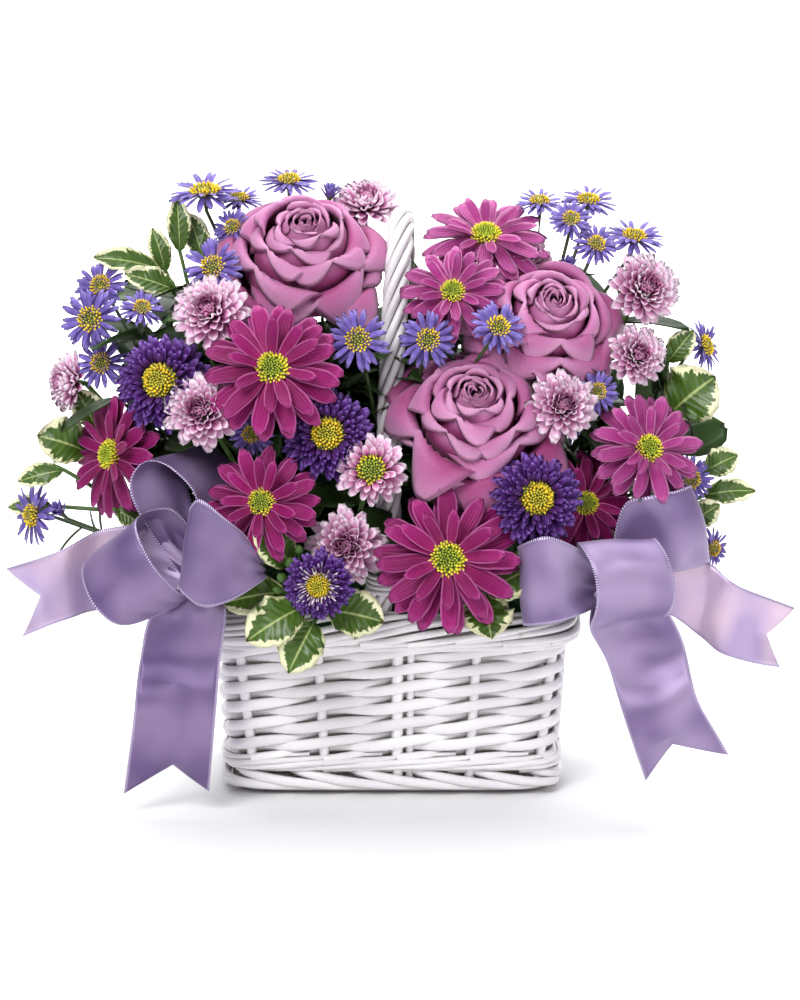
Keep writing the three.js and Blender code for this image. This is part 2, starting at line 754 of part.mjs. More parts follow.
CUSHIONS.forEach((bloom, i) => {
  const { size } = bloom;
  const at = spot(bloom);
  const out = facing(bloom.yaw, bloom.pitch);
  const rows = size > 17 ? 5 : 4;
  const head = tufted({ petals: 10, rows, core: size * 0.56, reach: size, height: size * 0.82 });
  const back = at.clone().addScaledVector(out, -size * 0.05);
  const cover = turned(
    [
      [size * 0.5, -size * 0.3],
      [size * 1.04, -size * 0.24],
      [size * 1.04, size * 0.3],
      [size * 0.6, size * 0.86],
    ],
    9,
  );
  pieces.push({
    name: `cushion_mum_${i + 1}`,
    head: placed(head, at, out, random(0, 3)),
    stem: stemRun([back, ...(bloom.via ? [vec(...bloom.via)] : []), foamSeat(at, bloom.shift)], STEM.cushion),
    cover: placed(cover, at, out),
    colour: COLOUR.cushion,
    rough: 0.65,
    rank: 60,
  });
});

// ---- Double asters: dense violet heads with a gold disc seated in the middle ---------------------

const DOUBLES = [
  { px: 162, py: 382, y: -62, size: 24, yaw: -12, pitch: 18 },
  { px: 328, py: 435, y: -76, size: 23, yaw: -2, pitch: 18 },
  { px: 319, py: 585, y: -96, size: 17.5, yaw: -4, pitch: 6 },
  { px: 536, py: 499, y: -86, size: 23, yaw: 6, pitch: 16 },
];

DOUBLES.forEach((bloom, i) => {
  const { size } = bloom;
  const at = spot(bloom);
  const out = facing(bloom.yaw, bloom.pitch);
  const tall = size * 0.5;
  const head = tufted({
    petals: 14,
    rows: 4,
    core: size * 0.6,
    reach: size,
    height: tall,
    top: 0.62,
    dip: 0.46,
    droop: 0.1,
  });
  const disc = turned(
    [
      [size * 0.28, 0],
      [size * 0.31, 1.4],
      [size * 0.16, 3.3],
    ],
    8,
  );
  const cover = turned(
    [
      [size * 0.5, -size * 0.24],
      [size * 1.04, -size * 0.18],
      [size * 1.04, size * 0.24],
      [size * 0.5, size * 0.56],
    ],
    10,
  );
  const seat = at.clone().addScaledVector(out, tall * 0.52 + GAP);
  pieces.push({
    name: `double_aster_${i + 1}`,
    head: placed(head, at, out, random(0, 3)),
    stem: stemRun([at.clone().addScaledVector(out, -1), foamSeat(at, bloom.shift)], STEM.double),
    cover: placed(cover, at, out),
    colour: COLOUR.double,
    rough: 0.6,
    rank: 70,
  });
  pieces.push({
    name: `double_aster_${i + 1}_disc`,
    head: placed(disc, seat, out),
    colour: COLOUR.gold,
    rough: 0.8,
    rank: 75,
  });
});

// ---- Small asters: sprays of narrow-petalled heads and buds on forked stems ----------------------

const ASTER_SPRAYS = [
  {
    blooms: [
      { px: 91, py: 319, y: -40, size: 15.5, yaw: -16, pitch: 16 },
      { px: 101, py: 286, y: -22, size: 13, yaw: -20, pitch: 34 },
      { px: 142, py: 309, y: -38, size: 11, yaw: 10, pitch: 50 },
      { px: 101, py: 363, y: -40, size: 12.5, yaw: -10, pitch: 14 },
    ],
  },
  {
    blooms: [
      { px: 205, py: 193, y: -4, size: 18, yaw: -10, pitch: 74 },
      { px: 239, py: 200, y: 6, size: 12, yaw: 10, pitch: 74 },
      { px: 233, py: 228, y: -14, size: 10.5, yaw: -20, pitch: 34 },
      { px: 213, py: 267, y: -46, size: 14, yaw: -6, pitch: 20 },
      { px: 289, py: 182, y: 0, size: 14, yaw: 0, pitch: 74 },
      { px: 330, py: 195, y: -2, size: 3, bud: true, yaw: 30, pitch: 70 },
    ],
    fork: [-54, 16, 196],
    shift: [-8, 12, 4],
  },
  {
    blooms: [
      { px: 252, py: 434, y: -66, size: 11, yaw: -10, pitch: 10 },
      { px: 358, py: 340, y: -66, size: 15, yaw: -4, pitch: 16 },
      { px: 428, py: 340, y: -62, size: 14, yaw: 2, pitch: 18 },
      { px: 498, py: 328, y: -66, size: 14, yaw: 16, pitch: 40 },
    ],
    fork: [0, -18, 150],
    shift: [4, -2, 0],
  },
  {
    blooms: [
      { px: 540, py: 203, y: 0, size: 12, yaw: 0, pitch: 74 },
      { px: 588, py: 202, y: 4, size: 14, yaw: 8, pitch: 72 },
      { px: 571, py: 220, y: -16, size: 11, yaw: 0, pitch: 44 },
      { px: 596, py: 245, y: -22, size: 11, yaw: 14, pitch: 40 },
      { px: 634, py: 238, y: -6, size: 15, yaw: 20, pitch: 70 },
      { px: 568, py: 268, y: -12, size: 3, bud: true, yaw: 10, pitch: 60 },
    ],
    shift: [4, 4, 0],
  },
  {
    blooms: [
      { px: 597, py: 392, y: -56, size: 11, yaw: 6, pitch: 24 },
      { px: 704, py: 346, y: -20, size: 13, yaw: 62, pitch: 20 },
      { px: 690, py: 479, y: -46, size: 12, yaw: 24, pitch: 10 },
      { px: 712, py: 548, y: -38, size: 10, yaw: 40, pitch: 0 },
    ],
    fork: [100, -14, 144],
    shift: [2, 12, 6],
  },
  {
    blooms: [
      { px: 34, py: 515, y: -30, size: 15, yaw: -52, pitch: 8 },
      { px: 60, py: 512, y: -34, size: 3, bud: true, yaw: -40, pitch: 40 },
    ],
    shift: [0, 4, 4],
  },
  {
    blooms: [
      { at: [-78, 58, 206], size: 14, yaw: 210, pitch: 30 },
      { at: [-92, 52, 172], size: 14, yaw: 220, pitch: 20 },
      { at: [72, 56, 204], size: 14, yaw: 160, pitch: 40 },
      { at: [92, 60, 150], size: 14, yaw: 150, pitch: 16 },
    ],
    fork: [4, 20, 140],
  },
];

function bud(size) {
  return turned(
    [
      [size * 0.3, -size],
      [size * 0.8, 0],
      [size * 0.3, size * 1.4],
    ],
    5,
  );
}

ASTER_SPRAYS.forEach(({ blooms, shift, fork }, i) => {
  const heads = blooms.map((bloom) => {
    const out = facing(bloom.yaw, bloom.pitch);
    const at = spot(bloom);
    return { at, out, shape: placed(bloom.bud ? bud(bloom.size) : star({ size: bloom.size }), at, out, random(0, 3)) };
  });
  const ends = heads.map(({ at, out }) => at.clone().addScaledVector(out, -1));
  const middle = middleOf(ends);
  const seat = foamSeat(middle, shift);
  pieces.push({
    name: `aster_spray_${i + 1}`,
    head: heads.map((h) => h.shape).reduce((a, b) => a.add(b)),
    stem: spray(ends, STEM.small, seat, fork ? vec(...fork) : seat.clone().lerp(middle, 0.55)),
    colour: COLOUR.small,
    rough: 0.65,
    rank: 50,
  });
});

// ---- Variegated leaves: wavy blades on forked stems ----------------------------------------------

// Each leaf: picture position and depth of its base, the same for its tip, then its width.
const LEAF_SPRAYS = [
  {
    leaves: [
      [158, 268, -14, 93, 258, -18, 13],
      [176, 290, -22, 124, 274, -24, 14],
      [180, 252, -8, 177, 198, -4, 12],
      [166, 272, -10, 152, 228, -6, 11],
      [204, 262, -6, 188, 214, 4, 13],
    ],
    shift: [-6, 6, 2],
  },
  {
    leaves: [
      [88, 452, -22, 36, 436, -26, 24],
      [64, 470, -34, 18, 482, -34, 12],
      [52, 506, -20, 8, 508, -20, 11],
      [96, 428, -14, 76, 390, -12, 16],
      [116, 510, -52, 148, 528, -54, 12],
    ],
    shift: [-4, -4, -4],
  },
  {
    leaves: [
      [292, 566, -80, 253, 522, -88, 20],
      [286, 592, -80, 222, 604, -84, 21],
      [304, 606, -84, 246, 642, -92, 24],
      [314, 622, -84, 288, 674, -96, 22],
      [326, 610, -84, 384, 622, -84, 24],
    ],
    shift: [-6, -8, -6],
  },
  {
    leaves: [
      [486, 592, -80, 532, 568, -86, 21],
      [482, 598, -80, 492, 640, -94, 25],
    ],
    shift: [4, -8, -4],
  },
  {
    leaves: [
      [668, 362, -28, 694, 330, -28, 13],
      [672, 412, -36, 716, 376, -38, 31],
      [704, 472, -36, 738, 455, -34, 15],
      [702, 496, -34, 756, 491, -34, 13],
      [690, 524, -44, 720, 504, -44, 14],
    ],
    fork: [116, -30, 122],
    shift: [2, -4, -6],
  },
  {
    rear: [
      [-66, 34, 112, -98, 74, 88, 34],
      [-40, 40, 112, -52, 88, 92, 34],
      [-10, 42, 114, -14, 94, 96, 32],
      [-78, 16, 116, -124, 34, 104, 32],
      [-86, 6, 150, -134, 30, 150, 28],
      [-68, 44, 148, -104, 82, 138, 32],
      [-24, 46, 142, -26, 92, 134, 30],
      [-60, 38, 180, -106, 60, 190, 28],
      [-40, 36, 206, -72, 70, 226, 28],
      [-12, 34, 196, -8, 72, 218, 26],
      [-30, 12, 222, -62, 26, 250, 26],
      [-18, 20, 226, -28, 46, 256, 22],
    ],
    fork: [-58, 40, 142],
    shift: [-6, 6, 0],
  },
  {
    rear: [
      [66, 34, 112, 100, 72, 90, 34],
      [40, 40, 112, 50, 90, 94, 34],
      [14, 42, 114, 18, 94, 112, 30],
      [78, 16, 116, 124, 34, 106, 32],
      [86, 6, 146, 130, 34, 152, 28],
      [68, 46, 150, 106, 84, 152, 32],
      [48, 46, 142, 62, 92, 134, 30],
      [62, 36, 190, 102, 56, 204, 28],
      [36, 38, 210, 62, 70, 232, 28],
      [18, 46, 156, 22, 92, 156, 26],
      [34, 12, 222, 70, 24, 246, 26],
      [24, 20, 226, 36, 44, 256, 22],
    ],
    fork: [57, 39, 141],
    shift: [6, 6, 0],
  },
];

// A pointed blade with a wavy edge and a raised rib on its own stalk, thin at its edge; both faces are
// split alike. The stalk starts at a joint on the spray's main stem.
function leaf({ base, tip, width, face }, joint) {
  const along = tip.clone().sub(base);
  const long = along.length();
  along.normalize();
  const side = face.clone().cross(along).normalize();
  const up = along.clone().cross(side);
  const stations = 5;
  const stalk = base.clone().sub(joint).normalize();
  const across = side.clone().addScaledVector(stalk, -side.dot(stalk)).normalize();
  const over = stalk.clone().cross(across);
  const points = [];
  for (const at of [joint, base]) {
    points.push(
      at.clone().add(across),
      at.clone().add(over),
      at.clone().sub(across),
      at.clone().sub(over),
    );
  }
  for (let i = 0; i < stations; i++) {
    const t = 0.14 + (0.74 * i) / (stations - 1);
    const half = (width / 2) * Math.sin(Math.PI * t ** 0.85) ** 0.7 * (i % 2 ? 1.06 : 0.93);
    const lift = Math.sin(Math.PI * t) * long * 0.09;
    const middle = base.clone().addScaledVector(along, t * long).addScaledVector(up, lift);
    const wave = (i % 2 ? 0.5 : -0.5) * width * 0.06;
    points.push(
      middle.clone().addScaledVector(side, half).addScaledVector(up, wave + half * 0.2),
      middle.clone().addScaledVector(up, 0.7),
      middle.clone().addScaledVector(side, -half).addScaledVector(up, -wave + half * 0.2),
      middle.clone().addScaledVector(up, -0.9),
    );
  }
  points.push(tip.clone());
  const end = points.length - 1;
  const faces = [
    [0, 2, 1],
    [0, 3, 2],
  ];
  for (let k = 0; k < 4; k++) {
    const next = (k + 1) % 4;
    const mirrored = k % 2 === 1;
    for (let row = 0; row < end - 4; row += 4) {
      const [a, b, c, d] = [row + k, row + next, row + 4 + next, row + 4 + k];
      faces.push(mirrored ? [a, b, d] : [a, b, c], mirrored ? [b, c, d] : [a, c, d]);
    }
    faces.push([end, end - 4 + k, end - 4 + next]);
  }
  return { solid: solidOf(skin(points, faces)), room: rod([base, joint], 1.5, 4) };
}

LEAF_SPRAYS.forEach(({ leaves = [], rear = [], fork, shift }, i) => {
  const list = [
    ...leaves.map(([ax, ay, ad, bx, by, bd, width]) => ({
      base: seenAt(ax, ay, ad),
      tip: seenAt(bx, by, bd),
      width,
      face: vec(0, -1, 0.5),
    })),
    ...rear.map(([ax, ay, az, bx, by, bz, width]) => ({
      base: vec(ax, ay, az),
      tip: vec(bx, by, bz),
      width,
      face: vec(0, 0.5, 1),
    })),
  ];
  const bases = list.map(({ base }) => base);
  const middle = middleOf(bases);
  const seat = foamSeat(middle, shift);
  const from = fork ? vec(...fork) : seat.clone().lerp(middle, 0.75);
  const joints = jointsOf(bases, from, seat);
  const blades = list.map((l, k) => leaf(l, joints[k]));
  pieces.push({
    name: `leaf_spray_${i + 1}`,
    head: blades.map(({ solid }) => solid).reduce((a, b) => a.add(b)),
    stem: withRooms(stemRun([from, seat], STEM.leaf), blades),
    colour: COLOUR.leaf,
    rough: 0.55,
    rank: 20,
  });
});

// ---- Satin bows: strips given by the picture positions of both edges and their depths ------------

const BOWS = [
  {
    name: "bow_left",
    knot: [196, 582, -76],
    strips: [
      // side tail
      [
        [190, 560, 186, 600, -74],
        [150, 528, 150, 606, -70],
        [100, 530, 104, 610, -66],
        [62, 550, 66, 619, -72],
        [7, 568, 20, 638, -64, 40, 596],
      ],
      // hanging tail
      [
        [176, 590, 212, 590, -78],
        [150, 622, 223, 616, -82],
        [138, 665, 220, 660, -84],
        [134, 713, 216, 716, -86],
        [124, 792, 209, 792, -84, 173, 764],
      ],
      // lower left loop, back layer out to its end, front layer home
      [
        [196, 570, 196, 592, -74],
        [150, 512, 158, 590, -72],
        [104, 552, 116, 612, -78],
        [84, 572, 97, 610, -86],
        [112, 549, 125, 625, -96],
        [146, 556, 156, 612, -96],
        [190, 578, 196, 604, -82],
      ],
      // upper loop
      [
        [190, 574, 204, 574, -74],
        [146, 520, 200, 530, -58],
        [132, 480, 194, 492, -50],
        [141, 463, 200, 478, -56],
        [134, 492, 200, 512, -68],
        [160, 536, 202, 548, -78],
        [190, 576, 204, 576, -80],
      ],
      // front loop
      [
        [188, 590, 206, 592, -80],
        [186, 540, 246, 545, -86],
        [189, 502, 216, 496, -92],
        [184, 532, 250, 534, -102],
        [178, 570, 261, 570, -104],
        [186, 598, 238, 604, -96],
        [196, 596, 214, 604, -82],
      ],
    ],
  },
  {
    name: "bow_right",
    knot: [606, 592, -80],
    strips: [
      [
        [620, 580, 622, 606, -78],
        [664, 556, 664, 612, -72],
        [708, 562, 697, 634, -66],
        [739, 586, 722, 654, -64],
        [794, 607, 781, 668, -60, 765, 633],
      ],
      [
        [596, 604, 622, 600, -82],
        [592, 630, 664, 616, -84],
        [612, 672, 684, 652, -84],
        [624, 718, 694, 696, -86],
        [646, 782, 728, 753, -88, 673, 745],
      ],
      // left loop
      [
        [604, 578, 606, 604, -78],
        [560, 548, 562, 616, -74],
        [526, 550, 530, 618, -80],
        [521, 548, 526, 624, -88],
        [548, 540, 556, 620, -97],
        [580, 544, 588, 616, -94],
        [602, 578, 604, 604, -84],
      ],
      // front centre loop
      [
        [610, 580, 612, 606, -80],
        [650, 548, 654, 604, -80],
        [666, 540, 674, 600, -88],
        [664, 538, 674, 606, -96],
        [626, 532, 634, 628, -106],
        [594, 556, 600, 630, -98],
        [602, 580, 604, 606, -84],
      ],
      // upper right loop
      [
        [604, 584, 622, 584, -76],
        [612, 530, 668, 530, -62],
        [619, 504, 686, 486, -58],
        [640, 506, 700, 512, -66],
        [656, 540, 708, 552, -76],
        [640, 572, 690, 578, -78],
        [606, 588, 624, 592, -78],
      ],
    ],
  },
];

// A strip of ribbon through its stations: both edges smoothed, of even thickness. A tail has a middle
// line too, which ends short of its corners in the notch.
function strip(stations, steps) {
  const [left, right] = [0, 2].map(
    (k) => new THREE.CatmullRomCurve3(stations.map((s) => seenAt(s[k], s[k + 1], s[4])), false, "centripetal"),
  );
  const end = stations[stations.length - 1];
  const notched = end.length > 5;
  const rows = [];
  for (let i = 0; i <= steps; i++) {
    const edges = [left.getPoint(i / steps), right.getPoint(i / steps)];
    const middle = i === steps && notched ? seenAt(end[5], end[6], end[4]) : edges[0].clone().lerp(edges[1], 0.5);
    rows.push(notched ? [edges[0], middle, edges[1]] : edges);
  }
  const across = rows[0].length;
  const rings = rows.map((row, i) => {
    const before = rows[Math.max(i - 1, 0)];
    const after = rows[Math.min(i + 1, steps)];
    const width = row[across - 1].clone().sub(row[0]);
    const push = row.map((_, k) => {
      const along = after[k].clone().sub(before[k]);
      return width.clone().cross(along).normalize().multiplyScalar(RIBBON_THICK / 2);
    });
    const top = row.map((p, k) => p.clone().add(push[k]));
    const under = row.map((p, k) => p.clone().sub(push[k]));
    return [...top, ...under.reverse()];
  });
  const around = across * 2;
  const points = rings.flat();
  const faces = [];
  for (let i = 0; i < steps; i++) {
    for (let k = 0; k < around; k++) {
      const [a, b] = [i * around + k, i * around + ((k + 1) % around)];
      faces.push([a, b + around, b], [a, a + around, b + around]);
    }
  }
  for (const [at, flip] of [
    [0, false],
    [steps * around, true],
  ]) {
    for (let k = 0; k < across - 1; k++) {
      const [a, b, c, d] = [at + k, at + k + 1, at + around - 2 - k, at + around - 1 - k];
      faces.push(flip ? [a, c, b] : [a, b, c], flip ? [a, d, c] : [a, c, d]);
    }
  }
  return solidOf(skin(points, faces));
}

for (const { name, knot, strips } of BOWS) {
  const centre = seenAt(...knot);
  const ball = placed(
    turned(
      [
        [3.5, -8],
        [8, -3],
        [8, 3],
        [3.5, 8],
      ],
      7,
    ),
    centre,
    vec(0, 0, 1),
  );
  const bow = strips.map((s) => strip(s, s.length > 5 ? 9 : 5)).reduce((a, b) => a.add(b), ball);
  pieces.push({
    name,
    head: bow,
    stem: stemRun([centre, foamSeat(centre, [0, 0, 8])], STEM.pick),
    colour: COLOUR.satin,
    rough: 0.35,
    rank: 85,
  });
}

// ---- Clearance: what would cross a neighbour is cut clear of it -----------------------------------

function overlap(a, b) {
  return a.intersect(b).volume() > 0.002;
}

function largest(solid) {
  return solid.decompose().reduce((a, b) => (b.volume() > a.volume() ? b : a));
}

const basket = [
  { name: "basket_body", head: basketBody(), colour: COLOUR.willow, rough: 0.6 },
  { name: "rim_border", head: rimBorder(), cover: rimBorder(0.5), colour: COLOUR.willow, rough: 0.6 },
  { name: "foot_border", head: footBorder(), colour: COLOUR.willow, rough: 0.6 },
  { name: "handle", head: handle(), cover: handle(0.45), colour: COLOUR.willow, rough: 0.6 },
  { name: "liner", head: liner(), colour: COLOUR.liner, rough: 0.5 },
  { name: "floral_foam", head: foamBlock(), cover: foamBlock(), colour: COLOUR.foam, rough: 0.95 },
];

const stems = pieces.filter((piece) => piece.stem);
const ranked = [...pieces].sort((a, b) => b.rank - a.rank);
const foam = basket[basket.length - 1];

for (const { stem } of stems) {
  if (overlap(stem.solid, foam.head)) foam.head = foam.head.subtract(stem.room);
}
for (const piece of pieces) {
  if (!piece.head) continue;
  for (const other of basket) {
    if (overlap(other.head, piece.head)) piece.head = piece.head.subtract(other.cover ?? other.head);
  }
  for (const other of stems) {
    if (other === piece) continue;
    if (overlap(other.stem.room, piece.head)) piece.head = piece.head.subtract(other.stem.room);
  }
}
ranked.forEach((piece, i) => {
  if (!piece.head) return;
  for (const other of ranked.slice(i + 1)) {
    if (!other.head || !overlap(piece.head, other.head)) continue;
    other.head = other.head.subtract(piece.cover ?? swollen(piece.head, 0.4));
    if (overlap(piece.head, other.head)) other.head = other.head.subtract(swollen(piece.head, 0.7)).subtract(piece.head);
  }
});

// ---- The finished group ---------------------------------------------------------------------------

const group = new THREE.Group();
for (const { name, head, stem, colour, rough } of [...basket, ...pieces]) {
  const whole = head && stem ? head.add(stem.solid) : (head ?? stem.solid);
  const material = new THREE.MeshStandardMaterial({ color: colour, roughness: rough, metalness: 0 });
  const mesh = new THREE.Mesh(geometryOf(largest(whole)), material);
  mesh.name = name;
  group.add(mesh);
}

export default group;
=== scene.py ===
# Flower basket arrangement: a white willow basket with a fixed arch handle, filled with roses, daisy
# mums, cushion mums, double asters, small asters and variegated leaves, with two satin bows.
# Metres in the scene; the sections work in millimetres. +Z up, the basket's front faces -Y.

import math

import bpy
import numpy as np
from mathutils import Matrix, Vector


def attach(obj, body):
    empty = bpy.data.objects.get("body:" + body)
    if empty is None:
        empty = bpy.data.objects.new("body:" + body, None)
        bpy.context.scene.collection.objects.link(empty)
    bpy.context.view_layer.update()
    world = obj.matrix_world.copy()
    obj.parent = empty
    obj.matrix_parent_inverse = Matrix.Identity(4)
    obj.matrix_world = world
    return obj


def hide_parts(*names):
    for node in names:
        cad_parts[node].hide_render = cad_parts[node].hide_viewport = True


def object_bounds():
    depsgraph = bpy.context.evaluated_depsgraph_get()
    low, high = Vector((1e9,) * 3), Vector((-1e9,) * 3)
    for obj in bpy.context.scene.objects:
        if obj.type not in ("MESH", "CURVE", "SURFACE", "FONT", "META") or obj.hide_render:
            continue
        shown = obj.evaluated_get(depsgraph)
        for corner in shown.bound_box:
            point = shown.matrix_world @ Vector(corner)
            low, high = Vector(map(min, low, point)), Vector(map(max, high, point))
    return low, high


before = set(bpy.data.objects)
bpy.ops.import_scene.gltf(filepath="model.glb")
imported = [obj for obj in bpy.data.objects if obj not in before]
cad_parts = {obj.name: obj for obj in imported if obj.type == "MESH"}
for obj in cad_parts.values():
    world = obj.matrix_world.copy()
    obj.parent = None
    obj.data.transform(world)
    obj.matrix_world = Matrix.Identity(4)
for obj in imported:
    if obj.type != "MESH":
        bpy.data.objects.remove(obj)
cad_low, cad_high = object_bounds()
scene = bpy.context.scene

# ---- Camera -----------------------------------------------------------------------------------
# Stands 1.6 m in front of the flowers and looks 12 degrees down, as the picture was taken. Every
# bloom below is given by its place in that picture, in pixels of 0.5 mm, and its distance y from
# the basket's middle plane.

CAMERA_DOWN = math.radians(12)
CAMERA_DISTANCE = 1600.0
CAMERA_TARGET = np.array([4.25, 0.0, 138.0])
PIXEL = 0.5

camera = bpy.data.objects.new("camera", bpy.data.cameras.new("camera"))
camera.data.lens = 115.2
camera.data.sensor_width = 36
camera.data.clip_start = 0.05
camera.data.clip_end = 20
back = Vector((0, -math.cos(CAMERA_DOWN), math.sin(CAMERA_DOWN)))
camera.location = Vector(CAMERA_TARGET / 1000) + back * CAMERA_DISTANCE / 1000
camera.rotation_euler = (-back).to_track_quat("-Z", "Y").to_euler()
scene.collection.objects.link(camera)
scene.camera = camera


def seen_at(px, py, y):
    across, up = (px - 400) * PIXEL, (500 - py) * PIXEL
    cos, sin = math.cos(CAMERA_DOWN), math.sin(CAMERA_DOWN)
    rise = (up * (1 + y * cos / CAMERA_DISTANCE) - y * sin) / (cos + up * sin / CAMERA_DISTANCE)
    near = rise * sin - y * cos
    x = CAMERA_TARGET[0] + across * (CAMERA_DISTANCE - near) / CAMERA_DISTANCE
    return np.array([x, y, CAMERA_TARGET[2] + rise])


# ---- Light and floor --------------------------------------------------------------------------
# A white sweep under large soft boxes: a key from the upper left, a weaker fill from the right, a
# broad top light and one on the backdrop, so the shadow under the basket stays short and faint.


def linear(hex_colour):
    parts = [int(hex_colour[i : i + 2], 16) / 255 for i in (1, 3, 5)]
    return (*[c / 12.92 if c <= 0.04045 else ((c + 0.055) / 1.055) ** 2.4 for c in parts], 1)


class Recipe:
    """A node tree, with short ways to add a node that return the node's output."""

    def __init__(self, tree):
        self.tree = tree

    def feed(self, inputs, values):
        """Gives each input a value, a colour such as "#F4F5FA", or the output that feeds it."""
        for key, value in values.items():
            if isinstance(value, bpy.types.NodeSocket):
                self.tree.links.new(value, inputs[key])
            else:
                colour = isinstance(value, str) and value.startswith("#")
                inputs[key].default_value = linear(value) if colour else value

    def add(self, kind, values=None, out=0, **settings):
        made = self.tree.nodes.new(kind)
        for name, value in settings.items():
            setattr(made, name, value)
        self.feed(made.inputs, values or {})
        return made.outputs[out] if made.outputs else None

    def math(self, kind, a, b=0.0, c=0.0):
        return self.add("ShaderNodeMath", {0: a, 1: b, 2: c}, operation=kind)

    def three(self, x, y, z=0.0):
        return self.add("ShaderNodeCombineXYZ", {0: x, 1: y, 2: z})


class Finish(Recipe):
    """The surface of a piece: a material with one Principled shader."""

    def __init__(self, name):
        self.material = bpy.data.materials.new(name)
        self.material.use_nodes = True
        super().__init__(self.material.node_tree)

    def mix(self, share, low, high, kind="MIX"):
        values = {0: share, 6: low, 7: high}
        return self.add("ShaderNodeMix", values, 2, data_type="RGBA", blend_type=kind)

    def span(self, value, low, high, first=0.0, last=1.0, **settings):
        """Carries the range from low to high over to the range from first to last."""
        values = {"Value": value, 1: low, 2: high, 3: first, 4: last}
        return self.add("ShaderNodeMapRange", values, **settings)

    def stored(self, name):
        return self.add("ShaderNodeAttribute", out="Fac", attribute_name=name)

    def place(self):
        return self.add("ShaderNodeTexCoord", out="Object")

    def noise(self, scale, detail=2.0, at=None):
        values = {"Vector": at or self.place(), "Scale": scale, "Detail": detail}
        return self.add("ShaderNodeTexNoise", values)

    def shares(self):
        """How far across and along a petal, leaf or ribbon a point lies, each from 0 to 1."""
        both = self.add("ShaderNodeUVMap", uv_map="petal")
        return [self.add("ShaderNodeSeparateXYZ", {0: both}, axis) for axis in ("X", "Y")]

    def ramp(self, share, colours):
        made = self.tree.nodes.new("ShaderNodeValToRGB")
        self.feed(made.inputs, {0: share})
        steps = made.color_ramp.elements
        while len(steps) < len(colours):
            steps.new(0.5)
        for step, (at, colour) in zip(steps, colours):
            step.position = at
            step.color = linear(colour)
        return made.outputs[0]

    def finished(self, colour, rough, relief=None, more=None):
        """The material. relief is a height, its strength and its depth in metres."""
        values = {"Base Color": colour, "Roughness": rough, **(more or {})}
        if relief:
            height, strength, depth = relief
            bump = {"Height": height, "Strength": strength, "Distance": depth}
            values["Normal"] = self.add("ShaderNodeBump", bump)
        self.feed(self.tree.nodes["Principled BSDF"].inputs, values)
        return self.material


scene.view_settings.view_transform = "Standard"
scene.world = bpy.data.worlds.new("studio")
scene.world.use_nodes = True
studio = Recipe(scene.world.node_tree)
studio.feed(studio.tree.nodes["Background"].inputs, {"Color": "#F4F5FA", "Strength": 0.3})

SOFT_BOXES = [  # name, place, aim, side, power
    ("key_box", (-0.55, -1.05, 1.15), (0, 0, 0.16), 0.6, 15),
    ("fill_box", (0.9, -1.0, 0.4), (0, 0, 0.15), 0.8, 4.5),
    ("top_box", (0.1, 0.05, 1.3), (0, 0, 0.1), 0.7, 7),
    ("backdrop_box", (0, 1.2, 2.2), (0, 3.2, 0.4), 2.5, 160),
]
for name, place, aim, side, power in SOFT_BOXES:
    light = bpy.data.lights.new(name, "AREA")
    light.size = side
    light.energy = power
    box = bpy.data.objects.new(name, light)
    box.location = place
    box.rotation_euler = (Vector(aim) - Vector(place)).to_track_quat("-Z", "Y").to_euler()
    scene.collection.objects.link(box)

floor_mesh = bpy.data.meshes.new("floor")
curve = [(-4, 0), (2.2, 0), (2.7, 0.1), (3.1, 0.4), (3.35, 0.9), (3.4, 1.5), (3.4, 4)]
corners = [(x, y, z) for y, z in curve for x in (-6, 6)]
strips = [(2 * i, 2 * i + 1, 2 * i + 3, 2 * i + 2) for i in range(len(curve) - 1)]
floor_mesh.from_pydata(corners, [], strips)
floor_mesh.materials.append(Finish("white paper sweep").finished("#F6F6F7", 0.75))
floor = bpy.data.objects.new("floor", floor_mesh)
floor.location.z = cad_low.z - 0.0004
scene.collection.objects.link(floor)

# ---- Basket wall ------------------------------------------------------------------------------
# Randed willow: fourteen upright stakes, and fourteen rods that pass before one stake and behind the
# next and climb as they go round, then a wale of thin rods at the foot and under the rim. White
# paint, worn to straw in patches, greyed in the hollows by painted shade. Each rod is a centre line
# with a round section.

STAKES = 14
STAKE_START = 0.58  # how far the first stake stands from the basket's right end, in gaps
WALL = {"base": (82.0, 50.0), "top": (86.0, 58.0), "low": 12.3, "high": 76.0}


def unit(v):
    return v / np.maximum(np.linalg.norm(v, axis=-1, keepdims=True), 1e-9)


def run_of(line):
    """How far along the line each of its points lies."""
    return np.concatenate([[0], np.cumsum(np.linalg.norm(np.diff(line, axis=0), axis=1))])


def sampled(at, run, line):
    return np.stack([np.interp(at, run, line[:, k]) for k in range(line.shape[1])], 1)


def plan(x, y, shares, power=9.0):
    """Points round the basket's rounded-rectangle plan, even along its length from +X, and the
    outward direction at each."""
    angle = np.linspace(0, 2 * math.pi, 2881)
    line = np.stack([np.cos(angle), np.sin(angle)], 1)
    line = np.sign(line) * np.abs(line) ** (2 / power) * (x, y)
    run = run_of(line)
    at = np.mod(np.asarray(shares, float), 1) * run[-1]
    points = sampled(at, run, line)
    step = sampled((at + 0.6) % run[-1], run, line) - points
    return points, unit(np.stack([step[:, 1], -step[:, 0]], 1))


def ring_run(x, y, shares, push, height):
    """A path round an x by y plan at these heights, moved out from it by push."""
    around, out = plan(x, y, shares)
    flat = around + out * np.broadcast_to(push, len(shares))[:, None]
    return np.column_stack([flat, np.broadcast_to(height, len(shares))])


def wall_run(shares, z, push):
    """A path round the wall at heights z, moved out from the wall's middle by push."""
    rise = (z - WALL["low"]) / (WALL["high"] - WALL["low"])
    low, out = plan(*WALL["base"], shares)
    high, _ = plan(*WALL["top"], shares)
    return np.column_stack([low + (high - low) * rise[:, None] + out * push[:, None], z])


